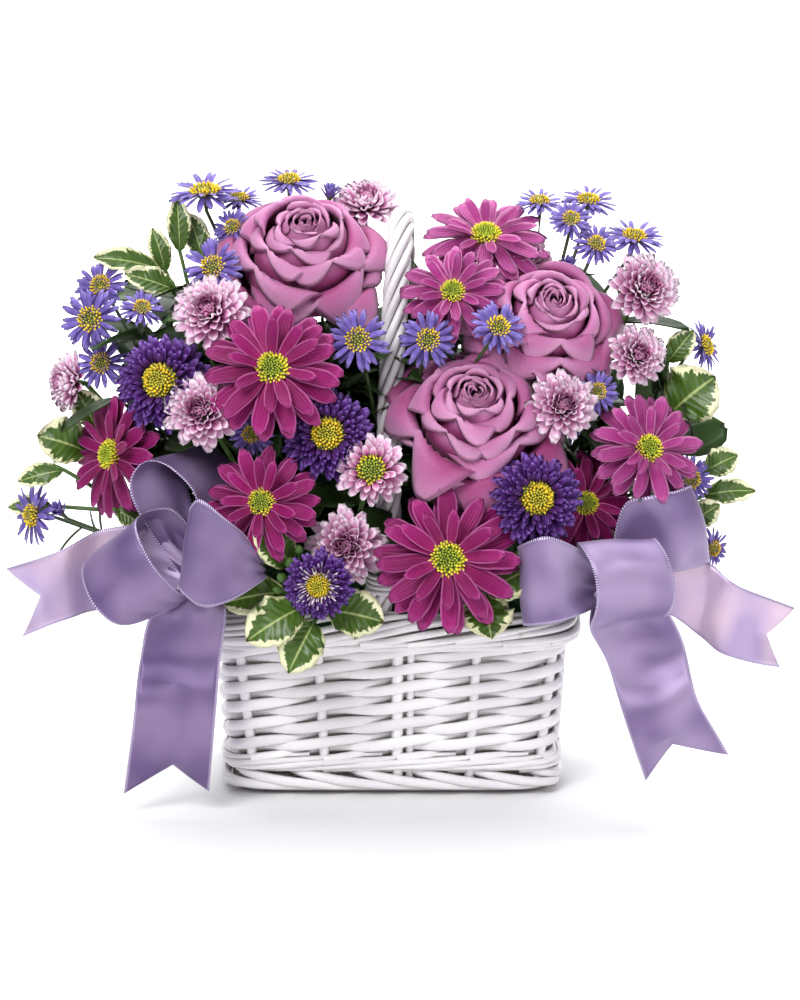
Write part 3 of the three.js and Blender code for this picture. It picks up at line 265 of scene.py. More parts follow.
class Rule(Recipe):
    """A Geometry Nodes tree. `given` holds its inputs, whose kinds and names it is made with."""

    def __init__(self, name, **inputs):
        super().__init__(bpy.data.node_groups.new(name, "GeometryNodeTree"))
        sockets = self.tree.interface
        for kind, names in inputs.items():
            for each in names.split(", "):
                sockets.new_socket(each, in_out="INPUT", socket_type="NodeSocket" + kind)
        sockets.new_socket("Made", in_out="OUTPUT", socket_type="NodeSocketGeometry")
        self.given = self.tree.nodes.new("NodeGroupInput").outputs

    def chance(self, low, high, seed):
        values = {2: low, 3: high, "Seed": seed}
        return self.add("FunctionNodeRandomValue", values, 1, data_type="FLOAT")

    def store(self, shapes, name, value, domain):
        values = {"Geometry": shapes, "Name": name, "Value": value}
        return self.add("GeometryNodeStoreNamedAttribute", values, data_type="FLOAT", domain=domain)

    def copies(self, points, one, rotation, size, seed):
        """Copies of one petal or leaf, each with a random number of its own for its finish."""
        values = {"Points": points, "Instance": one, "Rotation": rotation}
        values["Scale"] = self.three(size, size, size)
        made = self.add("GeometryNodeInstanceOnPoints", values)
        owned = self.store(made, "own", self.chance(0.0, 1.0, seed), "INSTANCE")
        return self.add("GeometryNodeRealizeInstances", {"Geometry": owned})

    def finished(self, shapes):
        values = {"Geometry": shapes, "Material": self.given["Finish"]}
        self.add("NodeGroupOutput", {0: self.add("GeometryNodeSetMaterial", values)})
        return self.tree


def rod_maker():
    """Gives every spline of the input curve a round section of its own radius."""
    rule = Rule(
        "rods from centre lines", Geometry="Centre lines", Int="Sides", Vector="Depth", Material="Finish"
    )
    along = rule.add("GeometryNodeSplineParameter", out="Length")
    marked = rule.store(rule.given["Centre lines"], "along", along, "POINT")
    owned = rule.store(marked, "own", rule.chance(0.0, 1.0, 4), "CURVE")
    circle = {"Resolution": rule.given["Sides"], "Radius": 1.0}
    ring = rule.add("GeometryNodeCurvePrimitiveCircle", circle)
    oval = rule.add("GeometryNodeTransform", {"Geometry": ring, "Scale": rule.given["Depth"]})
    upright = rule.add("GeometryNodeSetCurveNormal", {"Curve": owned}, mode="Z_UP")
    values = {"Curve": upright, "Profile Curve": oval, "Fill Caps": True}
    values["Scale"] = rule.add("GeometryNodeInputRadius")
    skin = rule.add("GeometryNodeCurveToMesh", values)
    smooth = rule.add("GeometryNodeSetShadeSmooth", {"Geometry": skin})
    return rule.finished(rule.add("GeometryNodeRealizeInstances", {"Geometry": smooth}))


def made_by(tree, carrier_data, **values):
    """The plain mesh that a Geometry Nodes tree makes from carrier_data with these inputs."""
    carrier = bpy.data.objects.new("maker", carrier_data)
    scene.collection.objects.link(carrier)
    modifier = carrier.modifiers.new("maker", "NODES")
    modifier.node_group = tree
    for item in tree.interface.items_tree:
        name = item.name.replace(" ", "_").lower()
        if item.in_out == "INPUT" and name in values:
            modifier[item.identifier] = values[name]
    graph = bpy.context.evaluated_depsgraph_get()
    mesh = bpy.data.meshes.new_from_object(carrier.evaluated_get(graph))
    bpy.data.objects.remove(carrier)
    return mesh


ROD_MAKER = rod_maker()


def centre_lines(runs):
    """A curve with one spline for each (points, radius, closed) in mm."""
    lines = bpy.data.curves.new("centre lines", "CURVE")
    lines.dimensions = "3D"
    for points, radius, closed in runs:
        spline = lines.splines.new("POLY")
        spline.points.add(len(points) - 1)
        flat = np.column_stack([np.asarray(points) / 1000, np.ones(len(points))])
        spline.points.foreach_set("co", flat.ravel())
        thick = np.broadcast_to(np.asarray(radius, float), (len(points),)) / 1000
        spline.points.foreach_set("radius", np.ascontiguousarray(thick))
        spline.use_cyclic_u = closed
    return lines


def rods(runs, sides, finish, depth=(1.0, 1.0, 1.0)):
    """One mesh with a rod for each (points, radius, closed) in mm."""
    lines = centre_lines(runs)
    mesh = made_by(ROD_MAKER, lines, sides=sides, finish=finish, depth=depth)
    bpy.data.curves.remove(lines)
    return mesh


def add_piece(name, mesh, slot, *nodes):
    """Shows a finished mesh as a piece that stands for these CAD nodes."""
    shown = bpy.data.objects.new(name, mesh)
    scene.collection.objects.link(shown)
    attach(shown, "root")
    if nodes:
        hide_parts(*nodes)
    return shown


def painted_willow(name, shaded, bright):
    """White paint on peeled willow: satin, brushed on thinly, so the grain of each rod shows through
    and straw-coloured wood shows in places; painted shade darkens the hollows between the rods."""
    paint = Finish(name)
    own = paint.stored("own")
    patches = paint.noise(90.0, 5.0)  # worn patches of up to about 11 mm
    grain = {"W": paint.math("ADD", paint.stored("along"), own), "Scale": 260.0, "Detail": 3.0}
    streak = paint.add("ShaderNodeTexNoise", grain, noise_dimensions="1D")
    worn = paint.ramp(patches, [(0.2, "#CDBFA8"), (0.3, "#FCFBFC")])
    painted = paint.mix(1.0, paint.mix(own, shaded, bright), worn, "MULTIPLY")
    # painted shade: ambient occlusion darkens the paint towards grey-brown in the hollows between rods
    hollow = paint.add("ShaderNodeAmbientOcclusion", {"Distance": 0.006}, "AO", samples=4)
    hollow_shade = paint.span(hollow, 0.05, 0.5, 0.75, 0.0)
    colour = paint.mix(hollow_shade, painted, "#8A7460", "MULTIPLY")
    relief = paint.math("ADD", streak, patches)
    return paint.finished(colour, 0.42, (relief, 0.35, 0.0006), {"Coat Weight": 0.15})


PAINTED_WILLOW = painted_willow("white paint on willow", "#ECE9EC", "#FCFBFC")
chance = np.random.default_rng(11)


def wobble(count, size, waves=5):
    """A slow natural unevenness along a closed or open rod."""
    t = np.linspace(0, 2 * math.pi, count, endpoint=False)
    return sum(size / (k + 1) * np.sin((k + 1) * 3 * t + chance.uniform(0, 6.3)) for k in range(waves))


PITCH = 4.72  # each rod climbs this much from one stake to the next
FIRST_ROW = 17.5
STAKES_PASSED = 12.6
WALL_LINE = -2.6  # the stakes stand this far inside the wall's outer plan
weave = []
for k in range(STAKES):
    stake = np.linspace(0, STAKES_PASSED, 12 * 13)
    phase = math.pi * stake
    z = FIRST_ROW + PITCH * stake + 0.5 * np.sin(2 * phase + 0.6) + wobble(len(phase), 0.42)
    push = WALL_LINE + 2.75 * np.cos(phase) + wobble(len(phase), 0.2)
    thick = 2.45 * (1 + 0.1 * np.cos(phase) + wobble(len(phase), 0.05))
    weave.append((wall_run((stake + k + STAKE_START) / STAKES, z, push), thick, False))
wall_mesh = rods(weave, 12, PAINTED_WILLOW, (0.72, 1.06, 1.0))
add_piece("willow_randing", wall_mesh, "willow", "basket_body")

# A wale of thin rods below and above the randing: each rod comes out over about two stakes, goes in
# behind the next and climbs to the right over its neighbours.
wale = []
for base, climb in ((11.6, 2.1), (74.2, 1.9)):
    for k in range(STAKES):
        for half in (0, 1):
            stake = np.linspace(-0.3, 3.3, 44)
            phase = 2 * math.pi * (stake - 1.5) / 3.6
            z = base + half * 1.5 + climb * (stake + 0.3) + wobble(len(phase), 0.15)
            push = -0.7 + 1.9 * np.cos(phase) + 0.25 * half
            share = (stake + k + 0.5 * half + STAKE_START) / STAKES
            thick = 1.45 * (1 + wobble(len(phase), 0.04))
            wale.append((wall_run(share, z, push), thick, False))
heights = np.linspace(4, 84, 12)
THICK_STAKE = 10  # this one has a second, thinner stake beside it
places = [((k + STAKE_START) / STAKES, WALL_LINE, 2.5) for k in range(STAKES)]
places[THICK_STAKE] = (places[THICK_STAKE][0], WALL_LINE, 3.0)
places.append((places[THICK_STAKE][0] + 6.2 / 520, -2.8, 2.0))
for share, push, thick in places:
    wale.append((wall_run(np.full(12, share), heights, np.full(12, push)), thick, False))
add_piece("willow_stakes_and_wales", rods(wale, 9, PAINTED_WILLOW), "willow", "basket_body")

# The base is a flat woven mat: rods side by side across thicker sticks, hidden but for its edge.
MAT_HEIGHT = 4.6
mat = []
for k in range(23):
    y = -44 + 4 * k
    reach = 76 * (1 - abs(y / 50) ** 6) ** (1 / 6)
    xs = np.linspace(-reach, reach, 25)
    wave = 1.4 * np.cos(math.pi * (xs / 19 + k))
    mat.append((np.stack([xs, np.full(25, y), MAT_HEIGHT + wave], 1), 2.0, False))
for x in np.arange(-66.5, 67, 19):
    mat.append(([(x, y, MAT_HEIGHT) for y in (-45, 0, 45)], 2.0, False))
add_piece("willow_base_mat", rods(mat, 7, PAINTED_WILLOW), "willow", "basket_body")

# ---- Foot border ------------------------------------------------------------------------------
# A plaited foot: each thick rod comes out under the wale, slants down to the right over the next
# stake and is tucked under again. Same white paint.

FOOT_RODS = 17
foot = []
for k in range(FOOT_RODS):
    across = np.linspace(0, 1, 22)
    share = (k + 0.1 + across * 2.15) / FOOT_RODS
    push = -5.0 + 6.6 * np.sin(math.pi * np.clip(across * 1.02, 0, 1)) ** 0.6
    path = ring_run(82.0, 50.0, share, push, 12.0 - 9.0 * across**0.75)
    foot.append((path, 2.55 * (1 - 0.35 * across**2) * chance.uniform(0.9, 1.08), False))
all_round = np.linspace(0, 1, 120, endpoint=False)
foot.append((ring_run(77.0, 45.0, all_round, 0.0, 3.6), 3.0, True))
add_piece("willow_foot_border", rods(foot, 9, PAINTED_WILLOW), "willow", "foot_border")

# ---- Rim border -------------------------------------------------------------------------------
# A rolled border: each willow rod starts low outside, climbs to the right over the top and ends
# inside, four or five lying side by side at any place, over a core of the stakes' bent ends.

BORDER_RODS = 24
rim = []
for k in range(BORDER_RODS):
    across = np.linspace(0, 1, 26)
    roll = np.radians(-62 + 190 * across**1.05)
    loose = chance.uniform(-0.9, 0.9, 2)
    push = -0.6 + 4.9 * np.cos(roll) - 2.2 * across + loose[0] * np.sin(math.pi * across)
    height = 83.8 + 4.2 * np.sin(roll) + 4.6 * across**1.4 + 0.5 * np.sin(9 * across + k) + loose[1]
    path = ring_run(88.5, 58.5, (k + 0.35) / BORDER_RODS + across * 0.2, push, height)
    rim.append((path, 1.85 * (1 - 0.2 * across**3) * chance.uniform(0.8, 1.15), False))
rim.append((ring_run(87.0, 57.0, all_round, 0.0, 83.0), 3.1, True))
add_piece("willow_rim_border", rods(rim, 9, PAINTED_WILLOW), "willow", "rim_border")

# ---- Handle -----------------------------------------------------------------------------------
# Six rods twisted into a rope over a core, bound with a thin rod over each foot; below the
# binding the rods spread and go down inside the border.

HANDLE = {"front_x": -7.0, "back_x": 8.0, "reach": 48.6, "spring": 88.0, "apex": 279.0}
HANDLE_RODS = 6
HANDLE_TWIST = 72.0  # the rods turn once in this length
FLAT_NEAR_END = 34.0  # nearer than this to each end, the bundle is flatter


def handle_line(count):
    angle = np.linspace(0, math.pi, count)
    square = 2 / 2.5
    c, s = np.cos(angle), np.sin(angle)
    y = -HANDLE["reach"] * np.sign(c) * np.abs(c) ** square
    rise = np.abs(s) ** square
    top = (HANDLE["front_x"] + HANDLE["back_x"]) / 2 + 4.5
    foot_x = np.where(angle < math.pi / 2, HANDLE["front_x"], HANDLE["back_x"])
    x = foot_x + (top - foot_x) * 0.45 * np.minimum(rise * 5, 1)
    x = x + (top - x) * rise**3
    return np.stack([x, y, HANDLE["spring"] + (HANDLE["apex"] - HANDLE["spring"]) * rise], 1)


def even(path, count):
    """The same path with evenly spaced points, and its length."""
    run = run_of(path)
    return sampled(np.linspace(0, run[-1], count), run, path), run[-1]


def wound(middle, side, front, angle, wide, deep):
    """A path wound round a middle line at this angle, with these radii to its side and front."""
    return middle + side * (np.cos(angle) * wide)[:, None] + front * (np.sin(angle) * deep)[:, None]


def stem_finish(name, light, dark):
    """A green stem or the handle's dark core: two tones in soft patches of about 4 mm."""
    skin = Finish(name)
    return skin.finished(skin.mix(skin.noise(220.0), dark, light), 0.55)


arch, _ = even(handle_line(600), 260)
feet = [np.array([(x, y * 0.965, 58.0), (x, y * 0.985, 72.0)]) for x, y, _ in (arch[0], arch[-1])]
arch, arch_length = even(np.concatenate([feet[0], arch, feet[1][::-1]]), 280)
ahead = unit(np.gradient(arch, axis=0))
side = np.tile([1.0, 0, 0], (len(arch), 1))
side = unit(side - ahead * (side * ahead).sum(1)[:, None])
front = np.cross(ahead, side)
share = np.linspace(0, 1, len(arch))
from_end = np.minimum(share, 1 - share) * arch_length
twist = 2 * math.pi * share * arch_length / HANDLE_TWIST
spread = 4.4 + 1.9 * np.clip((38 - from_end) / 30, 0, 1)
flat = 0.55 + 0.45 * np.clip(from_end / FLAT_NEAR_END, 0, 1)
bundle = []
for k in range(HANDLE_RODS):
    path = wound(arch, side, front, twist + 2 * math.pi * k / HANDLE_RODS, spread, spread * flat)
    bundle.append((path, 2.02 * (1 + wobble(len(arch), 0.02)), False))
for start in (44.0, arch_length - 52.0):
    turns = np.linspace(0, 1, 140)
    at = (start + turns * 9.5) / arch_length
    lines = [sampled(at, share, line) for line in (arch, side, front)]
    bundle.append((wound(*lines, 2 * math.pi * turns * 4, 6.9, 6.8), 1.25, False))
# painted shade: the handle's white paint is a shade darker than the basket's, so its top does not burn out
# under the top light
DIMMED_HANDLE_PAINT = painted_willow("white paint on the handle", "#DEDBDE", "#F2F0F2")
add_piece("willow_handle", rods(bundle, 10, DIMMED_HANDLE_PAINT), "willow", "handle")
# a dark brown core rod shows in the grooves between the rods as painted shade
GROOVE_SHADE_CORE = stem_finish("bare willow bark", "#7A5B3E", "#4A3424")
add_piece("willow_handle_core", rods([(arch[8:-8], 3.6, False)], 10, GROOVE_SHADE_CORE), "willow")

# ---- Liner and foam ---------------------------------------------------------------------------
# A milky film liner holds the water, and a block of wet floral foam fills it. Both stay as the CAD
# solids. Foam: fine open cells, matt; film: thin polythene with a soft shine.

foam = Finish("wet floral foam")
cells = foam.add("ShaderNodeTexVoronoi", {"Vector": foam.place(), "Scale": 900.0}, "Distance")
wet_foam = foam.finished(foam.mix(cells, "#16301C", "#3B6A45"), 0.95, (cells, 0.6, 0.0008))
film = Finish("milky polythene film")
creases = film.noise(60.0)
milky_film = film.finished(film.mix(creases, "#BDB6AE", "#D8D4CE"), 0.35, (creases, 0.4, 0.001))
for node, finish in (("floral_foam", wet_foam), ("liner", milky_film)):
    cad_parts[node].data.materials.clear()
    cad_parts[node].data.materials.append(finish)


# ---- Daisy mums -------------------------------------------------------------------------------
# Nine cerise daisy heads: three whorls of long rounded petals, the inner ones shorter and more
# upright, round a green disc with a ring of yellow florets. Fresh petals: matt, faintly grooved.

DAISIES = [  # picture place, y, radius, yaw, pitch
    (486, 237, -16, 32, 0, 56),
    (453, 293, -48, 26, -4, 34),
    (113, 455, -42, 32, -50, 12),
    (272, 369, -80, 34, 0, 26),
    (262, 503, -84, 28.5, -6, 18),
    (585, 503, -58, 26, 14, 14),
    (448, 559, -92, 36, 0, 16),
    (648, 449, -64, 28.5, 16, 26),
    ((-34, 66, 176), None, None, 32, 190, 30),  # on the rear, so given by its place in mm
]
PALER_DAISIES = (0, 1, 7)
GOLDEN = math.radians(137.508)
ERRORS = ("turn_error", "tilt_error", "size_error", "roll_error", "crumple")


def facing(yaw, pitch):
    a, b = math.radians(yaw), math.radians(pitch)
    return np.array([math.sin(a) * math.cos(b), -math.cos(a) * math.cos(b), math.sin(b)])


def spot(bloom):
    """Where a bloom stands, in mm, and the way it faces."""
    at = np.array(bloom[0], float) if bloom[1] is None else seen_at(*bloom[:3])
    return at, facing(*bloom[4:])


def head_matrix(at, out, spin=0.0):
    """Turns a head made facing +Z at the origin (in metres) to face out, with its centre at `at` mm."""
    up = np.array([0, 1.0, 0]) if abs(out[2]) > 0.95 else np.array([0, 0, 1.0])
    x = unit(np.cross(up, out))
    turned = Matrix(np.stack([x, np.cross(out, x), out], 1).tolist()).to_4x4()
    return Matrix.Translation(Vector(at) / 1000) @ turned @ Matrix.Rotation(spin, 4, "Z")


def sheet_mesh(name, points, faces, shares):
    """A smooth mesh (points in mm) whose UV map "petal" holds each point's shares across and along."""
    mesh = bpy.data.meshes.new(name)
    mesh.from_pydata((np.array(points) / 1000).tolist(), [], [tuple(map(int, f)) for f in faces])
    layer = mesh.uv_layers.new(name="petal")
    loops = np.zeros(len(mesh.loops), np.int32)
    mesh.loops.foreach_get("vertex_index", loops)
    layer.data.foreach_set("uv", np.array(shares, np.float32)[loops].ravel())
    mesh.polygons.foreach_set("use_smooth", np.ones(len(mesh.polygons), bool))
    return mesh


def grid(rows, columns):
    """The shares along (0 to 1) and across (-1 to 1) of each point of a sheet."""
    return np.meshgrid(np.linspace(0, 1, rows + 1), np.linspace(-1, 1, columns + 1), indexing="ij")


def quads(at, turned=False):
    """The faces between the points numbered in the grid `at`, or the same faces turned over."""
    corners = [at[:-1, :-1], at[1:, :-1], at[1:, 1:], at[:-1, 1:]]
    return np.stack(corners, -1).reshape(-1, 4)[:, [0, 3, 2, 1] if turned else [0, 1, 2, 3]]


def thin_sheet(name, upper, lower, u, v, turned=False):
    """A closed petal or leaf between two grids of points that meet along the edge."""
    top = np.arange(u.size).reshape(u.shape)
    low = top.copy()
    low[1:-1, 1:-1] = np.arange((u.shape[0] - 2) * (u.shape[1] - 2)).reshape(low[1:-1, 1:-1].shape) + u.size
    shares = np.stack([(u + 1) / 2, v], 2)
    points = [*upper.reshape(-1, 3), *lower[1:-1, 1:-1].reshape(-1, 3)]
    shares = [*shares.reshape(-1, 2), *shares[1:-1, 1:-1].reshape(-1, 2)]
    return sheet_mesh(name, points, [*quads(top, turned), *quads(low, not turned)], shares)


def petal(length, half_width, rise, cup, rows=6, columns=4, thick=0.6):
    """One closed petal along +X from its root at the origin, its face up. half_width, rise and cup
    (how far the edges stand above the middle) are functions of the share of the length, in mm."""
    v, u = grid(rows, columns)
    top = np.stack([length * v, half_width(v) * u, rise(v) + cup(v) * u * u], 2)
    under = top - np.array([0, 0, thick]) * (1 - u * u)[..., None]
    return thin_sheet("petal", top, under, u, v)


def rounded(width, base=0.32, widest=0.6, tip=0.42):
    """Half width of a petal that widens to `widest` of its length and ends in a round tip."""

    def half(v):
        grows = base + (1 - base) * np.sin(np.pi / 2 * np.clip(v / widest, 0, 1))
        ends = np.sqrt(np.clip(1 - (np.clip(v - widest, 0, 1) / tip) ** 2.6, 0.02, 1))
        return width * np.where(v < widest, grows, ends)

    return half


def head_maker():
    """Copies of one petal round +Z, from the first (share 0) to the last (share 1)."""
    ends = ", ".join(f"{name} {end}" for name in ("Root", "Lift", "Tilt", "Size") for end in ("first", "last"))
    single = "Start, Turn, Root power, Turn error, Tilt error, Size error, Roll error, Crumple"
    kinds = {"Geometry": "Petal", "Int": "Count, Seed", "Float": ends + ", " + single, "Material": "Finish"}
    rule = Rule("petals round an axis", **kinds)
    given = rule.given

    def between(name, share):
        span = rule.math("SUBTRACT", given[name + " last"], given[name + " first"])
        return rule.math("MULTIPLY_ADD", span, share, given[name + " first"])

    def error(name, shift):
        seed = rule.math("ADD", given["Seed"], shift)
        return rule.math("MULTIPLY", rule.chance(-1.0, 1.0, seed), given[name])

    index = rule.add("GeometryNodeInputIndex")
    last = rule.math("MAXIMUM", rule.math("SUBTRACT", given["Count"], 1.0), 1.0)
    share = rule.math("DIVIDE", index, last)
    angle = rule.math("MULTIPLY_ADD", index, given["Turn"], given["Start"])
    angle = rule.math("ADD", angle, error("Turn error", 1.0))
    radius = between("Root", rule.math("POWER", share, given["Root power"]))
    x, y = [rule.math("MULTIPLY", radius, rule.math(kind, angle)) for kind in ("COSINE", "SINE")]
    place = rule.three(x, y, between("Lift", share))
    tilt = rule.math("ADD", between("Tilt", share), error("Tilt error", 2.0))
    bent = rule.three(error("Roll error", 3.0), rule.math("MULTIPLY", tilt, -1.0), angle)
    turned = rule.add("FunctionNodeEulerToRotation", {0: bent})
    size = rule.math("MULTIPLY", between("Size", share), rule.math("ADD", error("Size error", 4.0), 1.0))
    roots = rule.add("GeometryNodePoints", {"Count": given["Count"], "Position": place})
    petals = rule.copies(roots, given["Petal"], turned, size, 9)
    # crumpled by a noise with waves of about 11 mm, from another place for each seed
    where = rule.add("ShaderNodeVectorMath", {0: rule.add("GeometryNodeInputPosition"), 1: given["Seed"]})
    waves = rule.add("ShaderNodeTexNoise", {"Vector": where, "Scale": 90.0}, "Color")
    centred = rule.add("ShaderNodeVectorMath", {0: waves, 1: (0.5, 0.5, 0.5)}, operation="SUBTRACT")
    push = rule.add("ShaderNodeVectorMath", {0: centred, "Scale": given["Crumple"]}, operation="SCALE")
    return rule.finished(rule.add("GeometryNodeSetPosition", {"Geometry": petals, "Offset": push}))


HEAD_MAKER = head_maker()


def whorl(shape, count, finish, root, lift, tilt, size=1, errors=(), **more):
    """Petals round +Z: root radius and lift in mm, tilt in degrees above the head's plane, size as a
    factor. Each is one number, or a pair for the first and last petal. errors follow ERRORS."""
    values = {"turn": 2 * math.pi / count, "root_power": 1.0, **dict(zip(ERRORS, errors)), **more}
    scales = (("root", root, 0.001), ("lift", lift, 0.001), ("tilt", tilt, math.pi / 180), ("size", size, 1))
    for name, ends, scale in scales:
        values[name + "_first"], values[name + "_last"] = np.broadcast_to(ends, 2) * scale
    values = {name: float(value) for name, value in values.items()}
    seed = int(chance.integers(1, 9999))
    return made_by(HEAD_MAKER, shape, count=count, finish=finish, seed=seed, **values)


def joined(name, parts):
    """One mesh of several (mesh, matrix) parts, which keeps their materials and attributes."""
    made = []
    for mesh, matrix in parts:
        copy = mesh.copy()
        copy.transform(matrix)
        made.append(bpy.data.objects.new(name, copy))
        scene.collection.objects.link(made[-1])
    chosen = {"selected_objects": made, "selected_editable_objects": made}
    with bpy.context.temp_override(active_object=made[0], object=made[0], **chosen):
        bpy.ops.object.join()
    mesh = made[0].data
    bpy.data.objects.remove(made[0])
    return mesh


def add_head(name, place, meshes, slot, *nodes):
    return add_piece(name, joined(name, [(mesh, place) for mesh in meshes]), slot, *nodes)


def petal_finish(name, along, edge=None, veins=1, vein=0.0, rough=0.5, sheen=0.1, spread=0.16, relief=0.35):
    """A petal's surface: its colour along its length, paler or darker edges, fine lengthwise veins
    and a little difference from petal to petal."""
    skin = Finish(name)
    across, up = skin.shares()
    colour = skin.ramp(up, along)
    if edge:
        away = skin.math("ABSOLUTE", skin.math("SUBTRACT", across, 0.5))
        colour = skin.mix(skin.span(away, 0.36, 0.5, 0.0, edge[1]), colour, edge[0])
    lines = skin.math("COSINE", skin.math("MULTIPLY", across, veins * 2 * math.pi))
    lined = skin.mix(skin.span(lines, 0.3, 1.0, 0.0, vein), colour, (0.02, 0.0, 0.03, 1))
    bright = skin.span(skin.stored("own"), 0.0, 1.0, 1 - spread, 1 + spread)
    shade = skin.add("ShaderNodeHueSaturation", {"Value": bright, "Color": lined})
    more = {"Sheen Weight": sheen, "Sheen Roughness": 0.4, "Specular IOR Level": 0.25}
    return skin.finished(shade, rough, (lines, relief, 0.0004), more)


# painted highlight: the daisy petals are painted paler along their edges and at their tips
DAISY_PETAL = petal_finish(
    "cerise daisy petal",
    [(0.0, "#DDA3BE"), (0.14, "#9A1F66"), (0.42, "#840A54"), (0.85, "#921466"), (1.0, "#BC458F")],
    ("#D26CAE", 0.8), 6, 0.18, sheen=0.05)
YOUNG_DAISY_PETAL = petal_finish(
    "paler cerise daisy petal",
    [(0.0, "#EBC4D8"), (0.16, "#B4508E"), (0.42, "#9C2C78"), (0.85, "#AA4088"), (1.0, "#CC70AC")],
    ("#DC8CC0", 0.8), 6, 0.18, sheen=0.05)
DISC_FLORET = petal_finish(
    "green disc floret", [(0.0, "#7E9420"), (0.6, "#A3B52B"), (1.0, "#C6CC46")], spread=0.3)
DISC_POLLEN = petal_finish(
    "yellow disc floret", [(0.0, "#9AA51E"), (0.5, "#D6CE2E"), (1.0, "#F0E552")], spread=0.2)


def floret(length, width):
    """A stubby disc floret, closed, standing along +X like a petal."""
    rings, sides = 4, 5
    v = np.linspace(0, 1, rings)
    r = width * np.array([0.8, 1.0, 0.8, 0.25])
    a = np.linspace(0, 2 * np.pi, sides, endpoint=False)
    points = [(length * v[i], r[i] * np.cos(t), r[i] * np.sin(t)) for i in range(rings) for t in a]
    at = np.arange(rings * sides).reshape(rings, sides)
    faces = [at[0], at[-1, ::-1], *quads(np.column_stack([at, at[:, 0]]))]
    return sheet_mesh("floret", points, faces, [(0.5, share) for share in v for _ in a])


def disc(radius, height, count, core, ring, core_share=0.45):
    """Florets on a low dome in a sunflower spiral: `core` in the middle, `ring` towards the rim."""
    inner = int(count * core_share)
    mid = radius * math.sqrt(core_share)
    bud, bigger = floret(radius * 0.26, radius * 0.1), floret(radius * 0.34, radius * 0.105)
    middle = whorl(bud, inner, core, (0.1, mid), (height * 0.86, height * 0.94), (86, 76), (0.8, 0.95),
                   (0, 0.1), turn=GOLDEN, root_power=0.5)
    outer = whorl(bigger, count - inner, ring, (mid, radius), (height * 0.94, height * 0.3), (76, 44),
                  (1, 1.1), (0, 0.22, 0.15), turn=GOLDEN, root_power=0.72)
    return [middle, outer]


for n, bloom in enumerate(DAISIES):
    size = bloom[3]
    place = head_matrix(*spot(bloom), 0.1 * n + 0.2)
    rays = YOUNG_DAISY_PETAL if n in PALER_DAISIES else DAISY_PETAL
    broad = petal(size * 0.86, rounded(size * 0.132, 0.32, 0.6, 0.415),
                  lambda v: 0.9 - 3.4 * (v - 0.35) ** 2 * size / 30,
                  lambda v: np.sin(np.pi * v) ** 0.8 + 0.3, rows=8, thick=0.7)
    curled = petal(size * 0.86, rounded(size * 0.124, 0.34, 0.6, 0.415), lambda v: 2.6 * v**2 * size / 30,
                   lambda v: 2.0 * np.sin(np.pi * v) ** 0.7 + 0.3, rows=7, thick=0.7)
    whorls = [
        whorl(broad, 14, rays, size * 0.13, -1.6, -8, 1, (0.07, 0.09, 0.05, 0.16, 0.0024)),
        whorl(broad, 12, rays, size * 0.12, 0.2, 2, 0.95, (0.09, 0.08, 0.06, 0.2, 0.0024), start=0.27),
        whorl(curled, 9, rays, size * 0.11, 1.4, 17, 0.7, (0.18, 0.16, 0.14, 0.2, 0.0022), start=0.5),
    ]
    name = f"daisy_{n + 1}"
    add_head(name + "_head", place, whorls, "daisy_petal", name + "_petals")
    florets = disc(size * 0.205, 3.6, 110, DISC_FLORET, DISC_POLLEN)
    add_head(name + "_disc", place, florets, "daisy_disc")

# ---- Cushion mums -----------------------------------------------------------------------------
# Eleven lilac pompon heads: about 120 spoon-shaped petals each, set on a spiral, the outer ones
# flat and long, the inner ones upright and short. Deeper pink at the roots, nearly white tips.

CUSHIONS = [  # picture place, y, radius, yaw, pitch
    (211, 312, -58, 19.5, -12, 30),
    (366, 204, 2, 16.5, 6, 56),
    (522, 258, -14, 15, 10, 50),
    (644, 290, -34, 19, 18, 24),
    (637, 356, -46, 15.5, 16, 20),
    (70, 382, -14, 15.5, -60, 10),
    (202, 412, -76, 19.5, -10, 18),
    (372, 470, -84, 18, -4, 20),
    (347, 546, -76, 19.5, -4, 12),
    (562, 406, -66, 18, 8, 22),
    ((32, 66, 186), None, None, 18, 172, 34),
]
OPEN_CUSHION = 7  # this one has opened to its disc
CUSHION_PETAL = petal_finish(
    "lilac cushion mum petal",
    [(0.0, "#5E1040"), (0.28, "#98326F"), (0.52, "#D582B8"), (0.76, "#F7CBE8"), (1.0, "#FFF2FB")],
    ("#FFE8F7", 0.9), vein=0.08)
CUSHION_INNER = petal_finish(
    "deep inner cushion petal",
    [(0.0, "#4E0C36"), (0.4, "#8A2462"), (0.75, "#B8548F"), (1.0, "#E4A2CC")],
    ("#F0BEDD", 0.6), vein=0.08)
CUSHION_HEART = petal_finish("olive young petal", [(0.0, "#3E4214"), (0.6, "#6E5A30"), (1.0, "#A08458")])
LOOSE = (0.1, 0.08, 0.06, 0.25, 0.0014)
